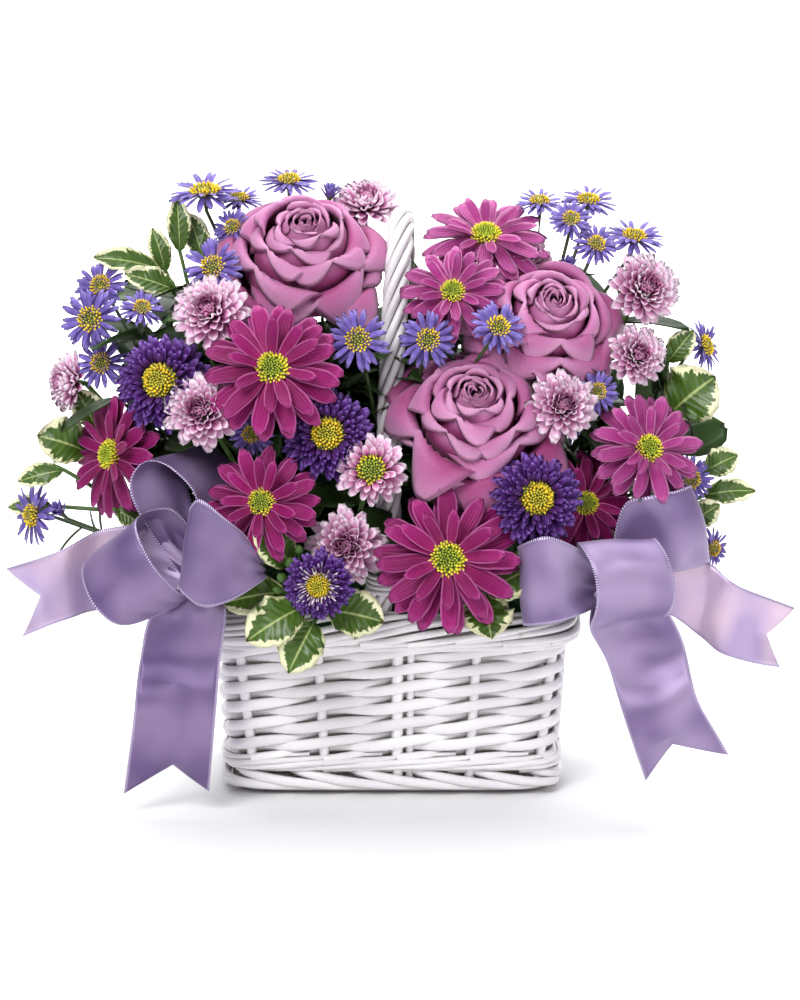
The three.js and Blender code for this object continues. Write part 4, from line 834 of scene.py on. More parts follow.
for n, bloom in enumerate(CUSHIONS):
    size = bloom[3]
    place = head_matrix(*spot(bloom), 0.4 * n)
    spoon = petal(size * 0.74, rounded(size * 0.145, 0.4, 0.7, 0.34),
                  lambda v: size * (0.1 * v + 0.16 * np.clip(v - 0.6, 0, 1)),
                  lambda v: size * 0.085 * (0.3 + v), rows=5, thick=0.45)
    name = f"cushion_mum_{n + 1}"
    if n == OPEN_CUSHION:
        whorls = [whorl(spoon, 58, CUSHION_PETAL, (size * 0.36, size * 0.3), (-size * 0.12, size * 0.2),
                        (-10, 44), (0.88, 0.56), LOOSE, turn=GOLDEN)]
        add_head(name + "_head", place, whorls, "cushion_mum", name)
        florets = disc(size * 0.36, size * 0.3, 90, DISC_FLORET, DISC_POLLEN)
        add_head(name + "_disc", place, florets, "daisy_disc")
        continue
    whorls = [
        whorl(spoon, 76, CUSHION_PETAL, (size * 0.26, size * 0.14), (-size * 0.12, size * 0.1),
              (-10, 54), (1, 0.62), LOOSE, turn=GOLDEN),
        whorl(spoon, 30, CUSHION_INNER, (size * 0.13, size * 0.06), (size * 0.12, size * 0.2),
              (56, 82), (0.6, 0.42), LOOSE, turn=GOLDEN),
    ]
    add_head(name + "_head", place, whorls, "cushion_mum", name)
    heart = whorl(spoon, 16, CUSHION_HEART, (size * 0.06, size * 0.01), (size * 0.22, size * 0.3),
                  (74, 88), (0.34, 0.24), (0, 0.15), turn=GOLDEN)
    add_head(name + "_heart", place, [heart], "cushion_mum")

# ---- Double asters ----------------------------------------------------------------------------
# Four deep violet heads of about 150 rounded petals, flat outside and upright round the gold disc.
# Velvety; the paler, bluer petal ends and edges are a painted highlight. The lowest one is younger,
# with a pale ragged ring.

DOUBLES = [  # picture place, y, radius, yaw, pitch
    (162, 382, -62, 24, -12, 18),
    (328, 435, -76, 23, -2, 18),
    (319, 585, -96, 17.5, -4, 6),
    (536, 499, -86, 23, 6, 16),
]
YOUNG_DOUBLE = 2
# painted highlight: the petal ends and edges are painted paler and bluer
DOUBLE_PETAL = petal_finish(
    "deep violet aster petal", [(0.0, "#220530"), (0.45, "#451460"), (0.8, "#5A277C"), (1.0, "#8F68C4")],
    ("#8058B8", 0.65), vein=0.1, sheen=0.15)
GOLD_FLORET = petal_finish(
    "gold disc floret", [(0.0, "#B98A10"), (0.5, "#E6C41E"), (1.0, "#F6E04A")], spread=0.2)
OLIVE_FLORET = petal_finish(
    "olive disc floret", [(0.0, "#8E8A1C"), (0.6, "#C9BC2C"), (1.0, "#DCD24A")], spread=0.2)
PALE_FLORET = petal_finish(
    "pale ragged ray", [(0.0, "#C9A7D6"), (0.5, "#EBD6EC"), (1.0, "#F7EEF6")], vein=0.05)
for n, bloom in enumerate(DOUBLES):
    size = bloom[3]
    place = head_matrix(*spot(bloom), 0.7 * n)
    ray = petal(size * 0.62, rounded(size * 0.086, 0.45, 0.7, 0.34),
                lambda v: size * (0.05 * v - 0.1 * np.clip(v - 0.5, 0, 1) ** 2),
                lambda v: size * 0.06 * (0.3 + v), rows=5, columns=2, thick=0.45)
    dense = whorl(ray, 150, DOUBLE_PETAL, (size * 0.38, size * 0.32), (-size * 0.14, size * 0.26),
                  (-10, 52), (1, 0.46), (0.1, 0.12, 0.08, 0.3, 0.0016), turn=GOLDEN)
    name = f"double_aster_{n + 1}"
    add_head(name + "_head", place, [dense], "double_aster", name)
    florets = disc(size * 0.31, size * 0.36, 120, OLIVE_FLORET, GOLD_FLORET, 0.3)
    add_head(name + "_florets", place, florets, "aster_disc", name + "_disc")
    if n == YOUNG_DOUBLE:
        thin = petal(size * 0.3, rounded(size * 0.025, 0.8, 0.7, 0.34), lambda v: 0.6 * v, lambda v: 0.2,
                     rows=3, columns=2, thick=0.3)
        ragged = whorl(thin, 70, PALE_FLORET, (size * 0.4, size * 0.28), (size * 0.16, size * 0.34),
                       (24, 70), (1, 0.8), (0, 0.3, 0.25), turn=GOLDEN)
        add_head(name + "_ragged_ring", place, [ragged], "double_aster")

# ---- Small asters -----------------------------------------------------------------------------
# Blue-violet stars of 32 narrow petals in two whorls round a small gold disc, with a few closed
# buds, on forked wiry stems.

SMALL_SPRAYS = [
    [(91, 319, -40, 15.5, -16, 16), (101, 286, -22, 13, -20, 34), (142, 309, -38, 11, 10, 50),
     (101, 363, -40, 12.5, -10, 14)],
    [(205, 193, -4, 18, -10, 74), (239, 200, 6, 12, 10, 74), (233, 228, -14, 10.5, -20, 34),
     (213, 267, -46, 14, -6, 20), (289, 182, 0, 14, 0, 74), (330, 195, -2, 3, 30, 70)],
    [(252, 434, -66, 11, -10, 10), (358, 340, -66, 15, -4, 16), (428, 340, -62, 14, 2, 18),
     (498, 328, -66, 14, 16, 40)],
    [(540, 203, 0, 12, 0, 74), (588, 202, 4, 14, 8, 72), (571, 220, -16, 11, 0, 44),
     (596, 245, -22, 11, 14, 40), (634, 238, -6, 15, 20, 70), (568, 268, -12, 3, 10, 60)],
    [(597, 392, -56, 11, 6, 24), (704, 346, -20, 13, 62, 20), (690, 479, -46, 12, 24, 10),
     (712, 548, -38, 10, 40, 0)],
    [(34, 515, -30, 15, -52, 8), (60, 512, -34, 3, -40, 40)],
    [((-78, 58, 206), None, None, 14, 210, 30), ((-92, 52, 172), None, None, 14, 220, 20),
     ((72, 56, 204), None, None, 14, 160, 40), ((92, 60, 150), None, None, 14, 150, 16)],
]
BUD = 5  # anything smaller than this is a closed bud
SMALL_PETAL = petal_finish(
    "blue-violet aster petal", [(0.0, "#C6B8E0"), (0.22, "#7C68B8"), (0.6, "#6853AC"), (1.0, "#9382CC")],
    ("#A896DA", 0.7), vein=0.16)
for n, blooms in enumerate(SMALL_SPRAYS):
    stars, centres = [], []
    for m, bloom in enumerate(blooms):
        size = bloom[3]
        place = head_matrix(*spot(bloom), 0.6 * m)
        if size < BUD:
            scale = petal(7.5, rounded(1.2, 0.7, 0.5, 0.55), lambda v: -1.2 * v * v, lambda v: 0.5,
                          rows=4, columns=2, thick=0.4)
            closed = whorl(scale, 16, SMALL_PETAL, (1.2, 0.5), (-2, -1), (66, 84), (1, 0.9), (0, 0.08),
                           turn=GOLDEN)
            stars.append((closed, place))
            continue
        ray = petal(size * 0.8, rounded(size * 0.094, 0.5, 0.62, 0.42),
                    lambda v: size * (0.1 * v - 0.16 * v * v), lambda v: 0.25, rows=5, columns=2, thick=0.35)
        low = whorl(ray, 18, SMALL_PETAL, size * 0.2, -0.5, 2, 1, (0.1, 0.12, 0.07, 0.3, 0.0014))
        high = whorl(ray, 14, SMALL_PETAL, size * 0.19, 0.4, 15, 0.92, (0.14, 0.14, 0.1, 0.3, 0.0014),
                     start=0.2)
        stars += [(low, place), (high, place)]
        centres += [(f, place) for f in disc(size * 0.36, 2.6, 56, OLIVE_FLORET, GOLD_FLORET, 0.3)]
    name = f"aster_spray_{n + 1}"
    add_piece(name + "_stars", joined(name + "_stars", stars), "small_aster", name)
    add_piece(name + "_discs", joined(name + "_discs", centres), "aster_disc")

# ---- Stems ------------------------------------------------------------------------------------
# Green stems run from each head to the foam. Each swells into the cup that holds the petals and
# the disc. The blooms of a spray leave one main stem, the farthest at its fork.

STEM = {"rose": 2.3, "daisy": 1.5, "mum": 1.4, "double": 1.4, "aster": 0.9}  # radius
GREEN_STEM = stem_finish("fresh green stem", "#5C7D36", "#3F5E27")
AUBURN_STEM = stem_finish("wiry aster stem", "#54663A", "#36482A")


def foam_seat(at, shift=(0, 0, 0)):
    """Where the stem of a bloom at this place goes into the foam."""
    return np.array([at[0] * 0.4, at[1] * 0.28, 84 + (at[2] - 84) * 0.1]) + shift


def smooth_path(points, per=9):
    """A Catmull-Rom line through these points."""
    p = np.array(points, float)
    p = np.concatenate([[2 * p[0] - p[1]], p, [2 * p[-1] - p[-2]]])
    t = np.linspace(0, 1, per, endpoint=False)[:, None]
    line = []
    for a, b, c, d in zip(p[:-3], p[1:-2], p[2:-1], p[3:]):
        square, cube = 2 * a - 5 * b + 4 * c - d, 3 * b - a - 3 * c + d
        line.append(0.5 * (2 * b + (c - a) * t + square * t**2 + cube * t**3))
    return np.concatenate([*line, p[-2:-1]])


def stalk(at, out, cup, deep, neck, way, radius):
    """A stem from a head's face down through its cup of radius `cup` and depth `deep`, then its way."""
    top = [at + out * neck, at - out * deep * 0.35, at - out * deep]
    points = np.concatenate([top, smooth_path([at - out * (deep + 4), *way], 8)])
    thick = np.full(len(points), float(radius))
    thick[:3] = [cup, cup * 0.92, max(cup * 0.35, radius * 1.25)]
    thick[-1] = radius * 1.15
    return points, thick, False


def forked(ends, share, fork, shift):
    """The way of each stalk of a spray from its end to its joint, and the farthest one's on to the
    foam. The fork is given, or it lies at this share of the way up from the foam."""
    middle = sum(ends) / len(ends)
    seat = foam_seat(middle, shift)
    fork = seat + (middle - seat) * share if fork is None else np.array(fork, float)
    ways = [None] * len(ends)
    for place, index in enumerate(sorted(range(len(ends)), key=lambda i: -np.linalg.norm(ends[i] - fork))):
        joint = fork + (seat - fork) * 0.3 * place / len(ends)
        ways[index] = [joint] if place else [joint, seat]
    return ways


def spray_runs(blooms, cup, deep, neck, radius, drop, share, fork, shift, detours):
    """The stalks of a spray; cup, deep and neck are shares of each bloom's radius."""
    spots = [spot(bloom) for bloom in blooms]
    ways = forked([at - out * drop for at, out in spots], share, fork, shift)
    runs = []
    for i, (at, out) in enumerate(spots):
        real = 9 if blooms[i][3] < BUD else blooms[i][3]
        way = [*detours.get(i, []), *ways[i]]
        runs.append(stalk(at, out, cup * real, deep * real, neck * real, way, radius))
    return runs


DAISY_SPRAYS = [  # the blooms, the shift of the seat, and a point that a bloom's stalk passes through
    ((0, 1), (4, 0, 4), {}),
    ((2, 3, 4), (0, -4, -2), {1: [(-60, -44, 184)]}),
    ((5, 6, 7), (6, -6, -2), {}),
    ((8,), (0, 0, 0), {}),
]
for n, (group, shift, detours) in enumerate(DAISY_SPRAYS):
    blooms = [DAISIES[i] for i in group]
    runs = spray_runs(blooms, 0.2, 0.26, 0.075, STEM["daisy"], 7, 0.5, None, shift, detours)
    name = f"daisy_stems_{n + 1}"
    add_piece(name + "_green", rods(runs, 10, GREEN_STEM), "green_stem", name)

MUM_WAYS = {6: ((-12, 13, 8), []), 7: ((-16, 0, 0), [(-15, -58, 144)]), 10: ((8, 0, -4), [])}
runs = []
for n, bloom in enumerate(CUSHIONS):
    at, out = spot(bloom)
    size = bloom[3]
    shift, via = MUM_WAYS.get(n, ((0, 0, 0), []))
    runs.append(stalk(at, out, size * 0.27, size * 0.3, size * 0.2, [*via, foam_seat(at, shift)], STEM["mum"]))
for bloom in DOUBLES:
    at, out = spot(bloom)
    size = bloom[3]
    runs.append(stalk(at, out, size * 0.33, size * 0.3, size * 0.24, [foam_seat(at)], STEM["double"]))
add_piece("mum_stems", rods(runs, 10, GREEN_STEM), "green_stem")

ASTER_FORKS = [  # the fork, and the shift of the seat
    (None, (0, 0, 0)),
    ((-54, 16, 196), (-8, 12, 4)),
    ((0, -18, 150), (4, -2, 0)),
    (None, (4, 4, 0)),
    ((100, -14, 144), (2, 12, 6)),
    (None, (0, 4, 4)),
    ((4, 20, 140), (0, 0, 0)),
]
aster_runs = []
for n, (blooms, (fork, shift)) in enumerate(zip(SMALL_SPRAYS, ASTER_FORKS)):
    runs = spray_runs(blooms, 0.22, 0.3, 0.05, STEM["aster"], 1, 0.55, fork, shift, {})
    aster_runs += runs
    add_piece(f"aster_spray_{n + 1}_stems", rods(runs, 8, AUBURN_STEM), "green_stem")

# ---- Small foliage ----------------------------------------------------------------------------
# Narrow dark leaves spiral up the aster stems, and broader ones fill the hollows between the
# blooms and hide the foam. Each is set along its stem by a rule.

LEAF_TURN = 2.4  # from one leaf to the next up a stem, in radians


def leaf_setter():
    """Copies of one leaf along centre lines, each turned on round its stem."""
    kinds = {"Geometry": "Stems", "Object": "Leaf", "Float": "Gap, Tilt, Size error", "Int": "Seed"}
    rule = Rule("leaves along stems", **kinds, Material="Finish")
    given = rule.given
    values = {"Curve": given["Stems"], "Length": given["Gap"]}
    points = rule.add("GeometryNodeCurveToPoints", values, mode="LENGTH")
    leaf = rule.add("GeometryNodeObjectInfo", {"Object": given["Leaf"]}, "Geometry")
    around = rule.math("MULTIPLY", rule.add("GeometryNodeInputIndex"), LEAF_TURN)
    tilt = rule.math("SUBTRACT", rule.chance(-0.3, 0.3, given["Seed"]), given["Tilt"])
    turned = rule.add("FunctionNodeEulerToRotation", {0: rule.three(0.0, tilt, around)})
    values = {0: points.node.outputs["Rotation"], 1: turned}
    aimed = rule.add("FunctionNodeRotateRotation", values, rotation_space="LOCAL")
    size = rule.math("MULTIPLY_ADD", rule.chance(-1.0, 1.0, 3), given["Size error"], 1.0)
    return rule.finished(rule.copies(points, leaf, aimed, size, 5))


LEAF_SETTER = leaf_setter()


def leaves_along(lines, shape, gap, tilt, seed):
    """Dark leaves every `gap` mm along these lines, each tilted up from square to its stem."""
    leaf = bpy.data.objects.new("one leaf", shape)
    stems = centre_lines([(line, 1.0, False) for line in lines])
    values = {"gap": gap / 1000, "tilt": tilt, "size_error": 0.25, "seed": seed}
    mesh = made_by(LEAF_SETTER, stems, leaf=leaf, finish=DARK_LEAF, **values)
    bpy.data.objects.remove(leaf)
    bpy.data.curves.remove(stems)
    return mesh


DARK_LEAF = petal_finish(
    "dark green leaf", [(0.0, "#3C5226"), (0.5, "#28401A"), (1.0, "#334D20")], ("#466030", 0.4),
    rough=0.42, sheen=0.05, spread=0.25)
narrow = petal(17, rounded(1.9, 0.4, 0.45, 0.56), lambda v: 1.5 * v - 4.5 * v * v, lambda v: 0.6,
               rows=5, columns=2, thick=0.35)
upper = [run[0][6 : max(11, int(len(run[0]) * 0.8))][::-1] for run in aster_runs]
add_piece("aster_foliage", leaves_along(upper, narrow, 7.5, 0.75, 1), "variegated_leaf")

# Fill: short leafy stems from the foam into the hollows of the mound, all well inside its outline.
FILL_STEMS = 104
fill_chance = np.random.default_rng(23)
fill_lines = []
for k in range(FILL_STEMS):
    around = k * GOLDEN
    rise = math.radians(8 + 78 * ((k + 0.5) / FILL_STEMS) ** 0.9)
    aim = np.array([math.cos(around) * math.cos(rise), math.sin(around) * math.cos(rise), math.sin(rise)])
    tip = np.array([0, -6, 112]) + aim * np.array([112, 62, 124]) * fill_chance.uniform(0.7, 0.96)
    seat = foam_seat(tip)
    fill_lines.append(smooth_path([seat, (tip + seat) / 2 + [0, 0, 6], tip], 8))
# and behind the places where the front blooms leave a gap
for px, py, y in ((228, 322, -30), (322, 318, -20), (206, 350, -34), (196, 452, -44), (222, 436, -44),
                  (170, 440, -40), (150, 420, -34), (140, 340, -26), (618, 324, -22), (612, 420, -40),
                  (664, 404, -34), (560, 344, -30), (604, 462, -44), (620, 300, -14), (240, 300, -20),
                  (410, 300, -24), (430, 372, -40), (270, 440, -50), (690, 440, -34), (120, 400, -28),
                  (470, 350, -42), (194, 492, -32), (504, 342, -38), (652, 394, -20), (618, 398, -26),
                  (156, 300, 6), (166, 322, -8), (178, 300, -4), (192, 288, -8), (138, 330, -2),
                  (186, 492, -44), (200, 500, -50)):
    tip = seen_at(px, py, y)
    seat = foam_seat(tip)
    fill_lines.append(smooth_path([seat, (tip + seat) / 2 + [0, 4, 8], tip], 8))
fill_stems = rods([(line, 0.9, False) for line in fill_lines], 6, GREEN_STEM)
add_piece("fill_stems", fill_stems, "green_stem")
broad_leaf = petal(31, rounded(8.0, 0.2, 0.42, 0.585), lambda v: 3.5 * v - 9 * v * v, lambda v: 1.6,
                   rows=7, thick=0.5)
fill_leaves = leaves_along([line[4:] for line in fill_lines], broad_leaf, 11, 0.5, 4)
add_piece("fill_foliage", fill_leaves, "variegated_leaf")

# ---- Variegated leaves ------------------------------------------------------------------------
# Leathery ovate leaves, green in the middle with deep cream margins that run into feathery points
# between the side veins; the edge is waved and the midrib pale.

LEAF_SPRAYS = [  # each leaf: picture place and y of its base, then of its tip, and its width
    [(158, 268, -14, 93, 258, -18, 13), (176, 290, -22, 124, 274, -24, 14), (180, 252, -8, 177, 198, -4, 12),
     (166, 272, -10, 152, 228, -6, 11), (204, 262, -6, 188, 214, 4, 13)],
    [(88, 452, -22, 36, 436, -26, 24), (64, 470, -34, 18, 482, -34, 12), (52, 506, -20, 8, 508, -20, 11),
     (96, 428, -14, 76, 390, -12, 16), (116, 510, -52, 148, 528, -54, 12)],
    [(292, 566, -80, 253, 522, -88, 20), (286, 592, -80, 222, 604, -84, 21), (304, 606, -84, 246, 642, -92, 24),
     (314, 622, -84, 288, 674, -96, 22), (326, 610, -84, 384, 622, -84, 24)],
    [(486, 592, -80, 532, 568, -86, 21), (482, 598, -80, 492, 640, -94, 25)],
    [(668, 362, -28, 694, 330, -28, 13), (672, 412, -36, 716, 376, -38, 31), (704, 472, -36, 738, 455, -34, 15),
     (702, 496, -34, 756, 491, -34, 13), (690, 524, -44, 720, 504, -44, 14)],
]
REAR_LEAVES = [  # base, tip and width on the side that the picture doesn't show
    [(-66, 34, 112, -98, 74, 88, 34), (-40, 40, 112, -52, 88, 92, 34), (-10, 42, 114, -14, 94, 96, 32),
     (-78, 16, 116, -124, 34, 104, 32), (-86, 6, 150, -134, 30, 150, 28), (-68, 44, 148, -104, 82, 138, 32),
     (-24, 46, 142, -26, 92, 134, 30), (-60, 38, 180, -106, 60, 190, 28), (-40, 36, 206, -72, 70, 226, 28),
     (-12, 34, 196, -8, 72, 218, 26), (-30, 12, 222, -62, 26, 250, 26), (-18, 20, 226, -28, 46, 256, 22)],
    [(66, 34, 112, 100, 72, 90, 34), (40, 40, 112, 50, 90, 94, 34), (14, 42, 114, 18, 94, 112, 30),
     (78, 16, 116, 124, 34, 106, 32), (86, 6, 146, 130, 34, 152, 28), (68, 46, 150, 106, 84, 152, 32),
     (48, 46, 142, 62, 92, 134, 30), (62, 36, 190, 102, 56, 204, 28), (36, 38, 210, 62, 70, 232, 28),
     (18, 46, 156, 22, 92, 156, 26), (34, 12, 222, 70, 24, 246, 26), (24, 20, 226, 36, 44, 256, 22)],
]
FRONT_FACE, REAR_FACE = np.array([0.1, -1, 0.55]), np.array([0.1, 0.5, 1.0])  # where upper sides look
LEAF_FORKS = {4: (116, -30, 122), 5: (-58, 40, 142), 6: (57, 39, 141)}
LEAF_SHIFTS = [(-6, 6, 2), (-4, -4, -4), (-6, -8, -6), (4, -8, -4), (2, -4, -6), (-6, 6, 0), (6, 6, 0)]


def variegated():
    """Green and cream leaf: the cream margin is widest at the tip and ragged along the side veins."""
    skin = Finish("variegated leaf")
    across, v = skin.shares()
    u = skin.math("ABSOLUTE", skin.math("MULTIPLY_ADD", across, 2.0, -1.0))
    vein = skin.math("SUBTRACT", v, skin.math("MULTIPLY", u, 0.22))  # climbs from midrib to edge
    own = skin.math("MULTIPLY", skin.stored("own"), 40.0)
    place = skin.three(skin.math("MULTIPLY", u, 1.4), skin.math("MULTIPLY", vein, 14.0), own)
    feather = skin.noise(1.0, 3.0, place)
    ragged = skin.math("MULTIPLY", skin.math("SUBTRACT", feather, 0.5), 0.95)
    tip = skin.math("MULTIPLY", skin.math("POWER", v, 2.4), 0.62)
    reach = skin.math("ADD", skin.math("ADD", u, ragged), tip)
    cream = skin.span(reach, 0.86, 0.93, interpolation_type="SMOOTHSTEP")
    green, pale = skin.mix(feather, "#273C0C", "#54791F"), skin.mix(v, "#D5D99A", "#F1EEC9")
    ribbed = skin.mix(skin.span(u, 0.02, 0.07, 0.75, 0.0), skin.mix(cream, green, pale), "#B9C77E")
    veins = skin.math("SINE", skin.math("MULTIPLY", vein, 50.0))
    return skin.finished(ribbed, 0.38, (veins, 0.3, 0.0004), {"Coat Weight": 0.12})


VARIEGATED = variegated()


def one_of_a_kind(mesh, finish):
    """Gives a single petal or leaf its finish and a random number of its own for it."""
    mesh.materials.append(finish)
    own = mesh.attributes.new("own", "FLOAT", "POINT")
    own.data.foreach_set("value", np.full(len(mesh.vertices), chance.uniform(0, 1), np.float32))
    return mesh


def leaf_blade(base, tip, width, face):
    """A waved blade from base to tip with its upper side towards face, and the matrix that places it."""
    long = np.linalg.norm(tip - base)
    along = (tip - base) / long
    side = unit(np.cross(face, along))
    phase = chance.uniform(0, 6.3)
    bow, fold = chance.uniform(0.07, 0.16), chance.uniform(0.14, 0.3)

    def half(v):
        body = np.sin(np.pi * np.clip(v, 0, 1) ** 1.02) ** 0.6
        return width / 2 * np.clip(body, 0.03, 1) * (1 + 0.045 * np.sin(31 * v + phase))

    def cup(v):
        return width * (fold * 0.5 + 0.085 * np.sin(17 * v + phase) * np.sin(np.pi * v))

    shape = petal(long, half, lambda v: long * bow * np.sin(np.pi * v) ** 0.9, cup, rows=14, columns=8)
    points = np.zeros(len(shape.vertices) * 3)
    shape.vertices.foreach_get("co", points)
    x, y, z = points.reshape(-1, 3).T  # in metres; z is raised on one side and lowered on the other
    across = y / (width / 2000)
    z += np.sign(across) * across**2 * width / 1000 * 0.07 * np.sin(19 * x / (long / 1000) + 2 * phase)
    shape.vertices.foreach_set("co", points)
    placed = Matrix(np.stack([along, side, np.cross(along, side)], 1).tolist()).to_4x4()
    return one_of_a_kind(shape, VARIEGATED), Matrix.Translation(Vector(base) / 1000) @ placed


def add_leaf_spray(n, blades):
    """The leaves of a spray, each given as (base, tip, width, face), and their forked stem."""
    ways = forked([blade[0] for blade in blades], 0.75, LEAF_FORKS.get(n), LEAF_SHIFTS[n])
    runs = []
    for (base, tip, *_), way in zip(blades, ways):
        line = smooth_path([base + (tip - base) * 0.12, base, *way], 7)
        runs.append((line, np.linspace(0.75, 1.25, len(line)), False))
    name = f"leaf_spray_{n + 1}"
    add_piece(name + "_stems", rods(runs, 8, GREEN_STEM), "green_stem")
    blades_mesh = joined(name + "_blades", [leaf_blade(*blade) for blade in blades])
    add_piece(name + "_blades", blades_mesh, "variegated_leaf", name)


for n, leaves in enumerate(LEAF_SPRAYS):
    add_leaf_spray(n, [(seen_at(*leaf[:3]), seen_at(*leaf[3:6]), leaf[6], FRONT_FACE) for leaf in leaves])
# young green buds stand at the joint of the front spray
buds = []
stem = seen_at(300, 600, -78)
for px, py, y, size in ((281, 577, -86, 2.3), (290, 562, -88, 2.6), (299, 549, -86, 2.0), (276, 590, -86, 1.9),
                        (302, 566, -88, 2.1), (293, 578, -90, 1.7), (307, 556, -84, 1.8)):
    at = seen_at(px, py, y)
    lean = unit(at - stem)
    line = [stem, *[at + lean * size * k for k in (-1.6, -1, -0.5, 0, 0.5, 0.95)]]
    buds.append((line, size * np.array([0.35, 0.3, 0.8, 1.0, 1.0, 0.75, 0.3]), False))
add_piece("green_buds", rods(buds, 9, GREEN_STEM), "green_stem")
for n, leaves in enumerate(np.array(REAR_LEAVES, float)):
    add_leaf_spray(n + len(LEAF_SPRAYS), [(leaf[:3], leaf[3:6], leaf[6], REAR_FACE) for leaf in leaves])

# ---- Roses ------------------------------------------------------------------------------------
# Three mauve garden roses, half open: nine rows of cupped petals that overlap in a spiral, the first
# rows coiled into a heart, the lips of the outer ones rolled back to a point. Velvety, lips paler.

ROSES = [  # picture place, y, radius, yaw, pitch
    (305, 220, -40, 38, 4, 52),
    (556, 297, -54, 33, 14, 42),
    (476, 390, -78, 36.5, 3, 44),
]
ROSE_ROWS = [  # petals, lip radius, lip height, roll, half width, drop at the sides, in head radii; turn
    (2, 0.05, 0.0, 0.0, 0.16, 0.0, 0.0),
    (2, 0.09, 0.02, 0.004, 0.22, 0.02, 0.35),
    (3, 0.145, 0.03, 0.008, 0.28, 0.03, 0.6),
    (3, 0.215, 0.03, 0.016, 0.34, 0.04, 0.2),
    (3, 0.31, 0.0, 0.045, 0.46, 0.07, 0.55),
    (3, 0.44, -0.06, 0.075, 0.66, 0.1, 0.05),
    (4, 0.6, -0.18, 0.11, 0.7, 0.13, 0.4),
    (3, 0.76, -0.38, 0.15, 1.0, 0.15, 0.8),
    (4, 0.88, -0.6, 0.16, 0.98, 0.15, 0.15),
]
ROSE_DEPTH = 1.14  # from the heart down to the calyx, in head radii


def rose_petal(size, lip, top, roll, wide, drop, turn, lean, tuck):
    """One cupped petal. Each lengthwise line rises from the cup's bottom past a belly to the lip and
    folds back outward. The lip slopes down both ways from a point in the middle, more to the side
    that lean names, and its fold widens down the slopes."""
    v, u = grid(20, 16)
    v = v**0.9
    side = np.abs(u)
    r, z = np.zeros_like(u), np.zeros_like(u)
    for j, across in enumerate(side[0]):
        peak = top - drop * across**1.15 + drop * 0.45 * lean * u[0, j]
        fold = roll * (0.3 + 1.5 * across - 0.5 * across**3)
        rise = peak + ROSE_DEPTH
        line = smooth_path([
            (0.09, -ROSE_DEPTH),
            (0.2 + 0.32 * lip, -ROSE_DEPTH + 0.1 * rise),
            (0.28 + 0.62 * lip, -ROSE_DEPTH + 0.34 * rise),
            (0.2 + 0.79 * lip, -ROSE_DEPTH + 0.7 * rise),
            (lip, peak - 0.07),
            (lip + 0.25 * fold, peak - 0.008),
            (lip + 0.75 * fold, peak),
            (lip + 1.5 * fold, peak - 0.75 * fold),
            (lip + 1.8 * fold, peak - 2.0 * fold),
        ], 12)
        run = run_of(line)
        r[:, j], z[:, j] = sampled(v[:, j] * (1 - 0.1 * across**3) * run[-1], run, line).T
    grown = wide * np.sin(np.pi * (0.16 + 0.5 * v)) * (1 - 0.1 * v**4)
    ripple = (0.01 + 0.05 * roll) * np.sin(5.3 * u + 2 * turn) * v**4
    r = r + tuck * u * (0.4 + 0.6 * v) + ripple
    z = z + ripple * 0.6 - 0.03 * side**3 * v
    angle = turn + u * grown / np.maximum(r, 0.09)
    outer = np.stack([np.cos(angle) * r, np.sin(angle) * r, z], 2) * size
    # the petal's other face lies inward along the surface normal, 0.55 mm off in the middle
    normal = unit(np.cross(np.gradient(outer, axis=1), np.gradient(outer, axis=0)))
    inner = outer - normal * 0.55 * ((1 - side**6) * (1 - v**10))[..., None]
    return thin_sheet("rose petal", outer, inner, u, v, turned=True)


ROSE_PETAL = petal_finish(
    "mauve rose petal",
    [(0.0, "#A07058"), (0.2, "#8E2C60"), (0.5, "#96346A"), (0.72, "#A54A80"), (0.85, "#B970A0"),
     (0.96, "#CC92B8"), (1.0, "#C07CA6")],
    ("#C284AC", 0.45), 23, 0.03, sheen=0.12, spread=0.09, relief=0.1)
SEPAL = petal_finish("green sepal", [(0.0, "#4E6B34"), (1.0, "#6C8A48")], vein=0.1, sheen=0.05)
for n, bloom in enumerate(ROSES):
    size = bloom[3]
    at, out = spot(bloom)
    petals = []
    for count, lip, top, roll, wide, drop, turn in ROSE_ROWS:
        for k in range(count):
            error = chance.uniform(-1, 1, 4)
            around = 2 * math.pi * (k + turn) / count + 0.12 * error[0]
            loose = 0.02 + 0.05 * lip
            mesh = rose_petal(size, lip * (1 + 0.07 * error[1]), top + loose * error[2],
                              roll * (1 + 0.4 * error[3]), wide, drop, around, chance.uniform(-1, 1), loose)
            petals.append(one_of_a_kind(mesh, ROSE_PETAL))
    name = f"rose_{n + 1}"
    add_head(name + "_head", head_matrix(at, out, 0.9 * n), petals, "rose_petal", name + "_petals")
    foot = at - out * size * ROSE_DEPTH
    run = stalk(foot + out * 2, out, size * 0.15, size * 0.2, 0, [foam_seat(at)], STEM["rose"])
    add_piece(name + "_green_stem", rods([run], 12, GREEN_STEM), "green_stem", name + "_stem")
    sepal = petal(size * 0.36, lambda v: size * 0.09 * (1.05 - v), lambda v: -2.5 * v, lambda v: 0.8,
                  columns=2, thick=0.5)
    calyx = whorl(sepal, 5, SEPAL, size * 0.1, 0.2, 66, 1, (0, 0.15))
    add_head(name + "_calyx", head_matrix(foot, out), [calyx], "green_stem")

# ---- Bows -------------------------------------------------------------------------------------
# Two bows of 38 mm double-faced satin ribbon, each with three loops, a side tail and a hanging tail
# cut to a swallowtail, gathered on a pick. A fine woven selvedge runs along both edges.

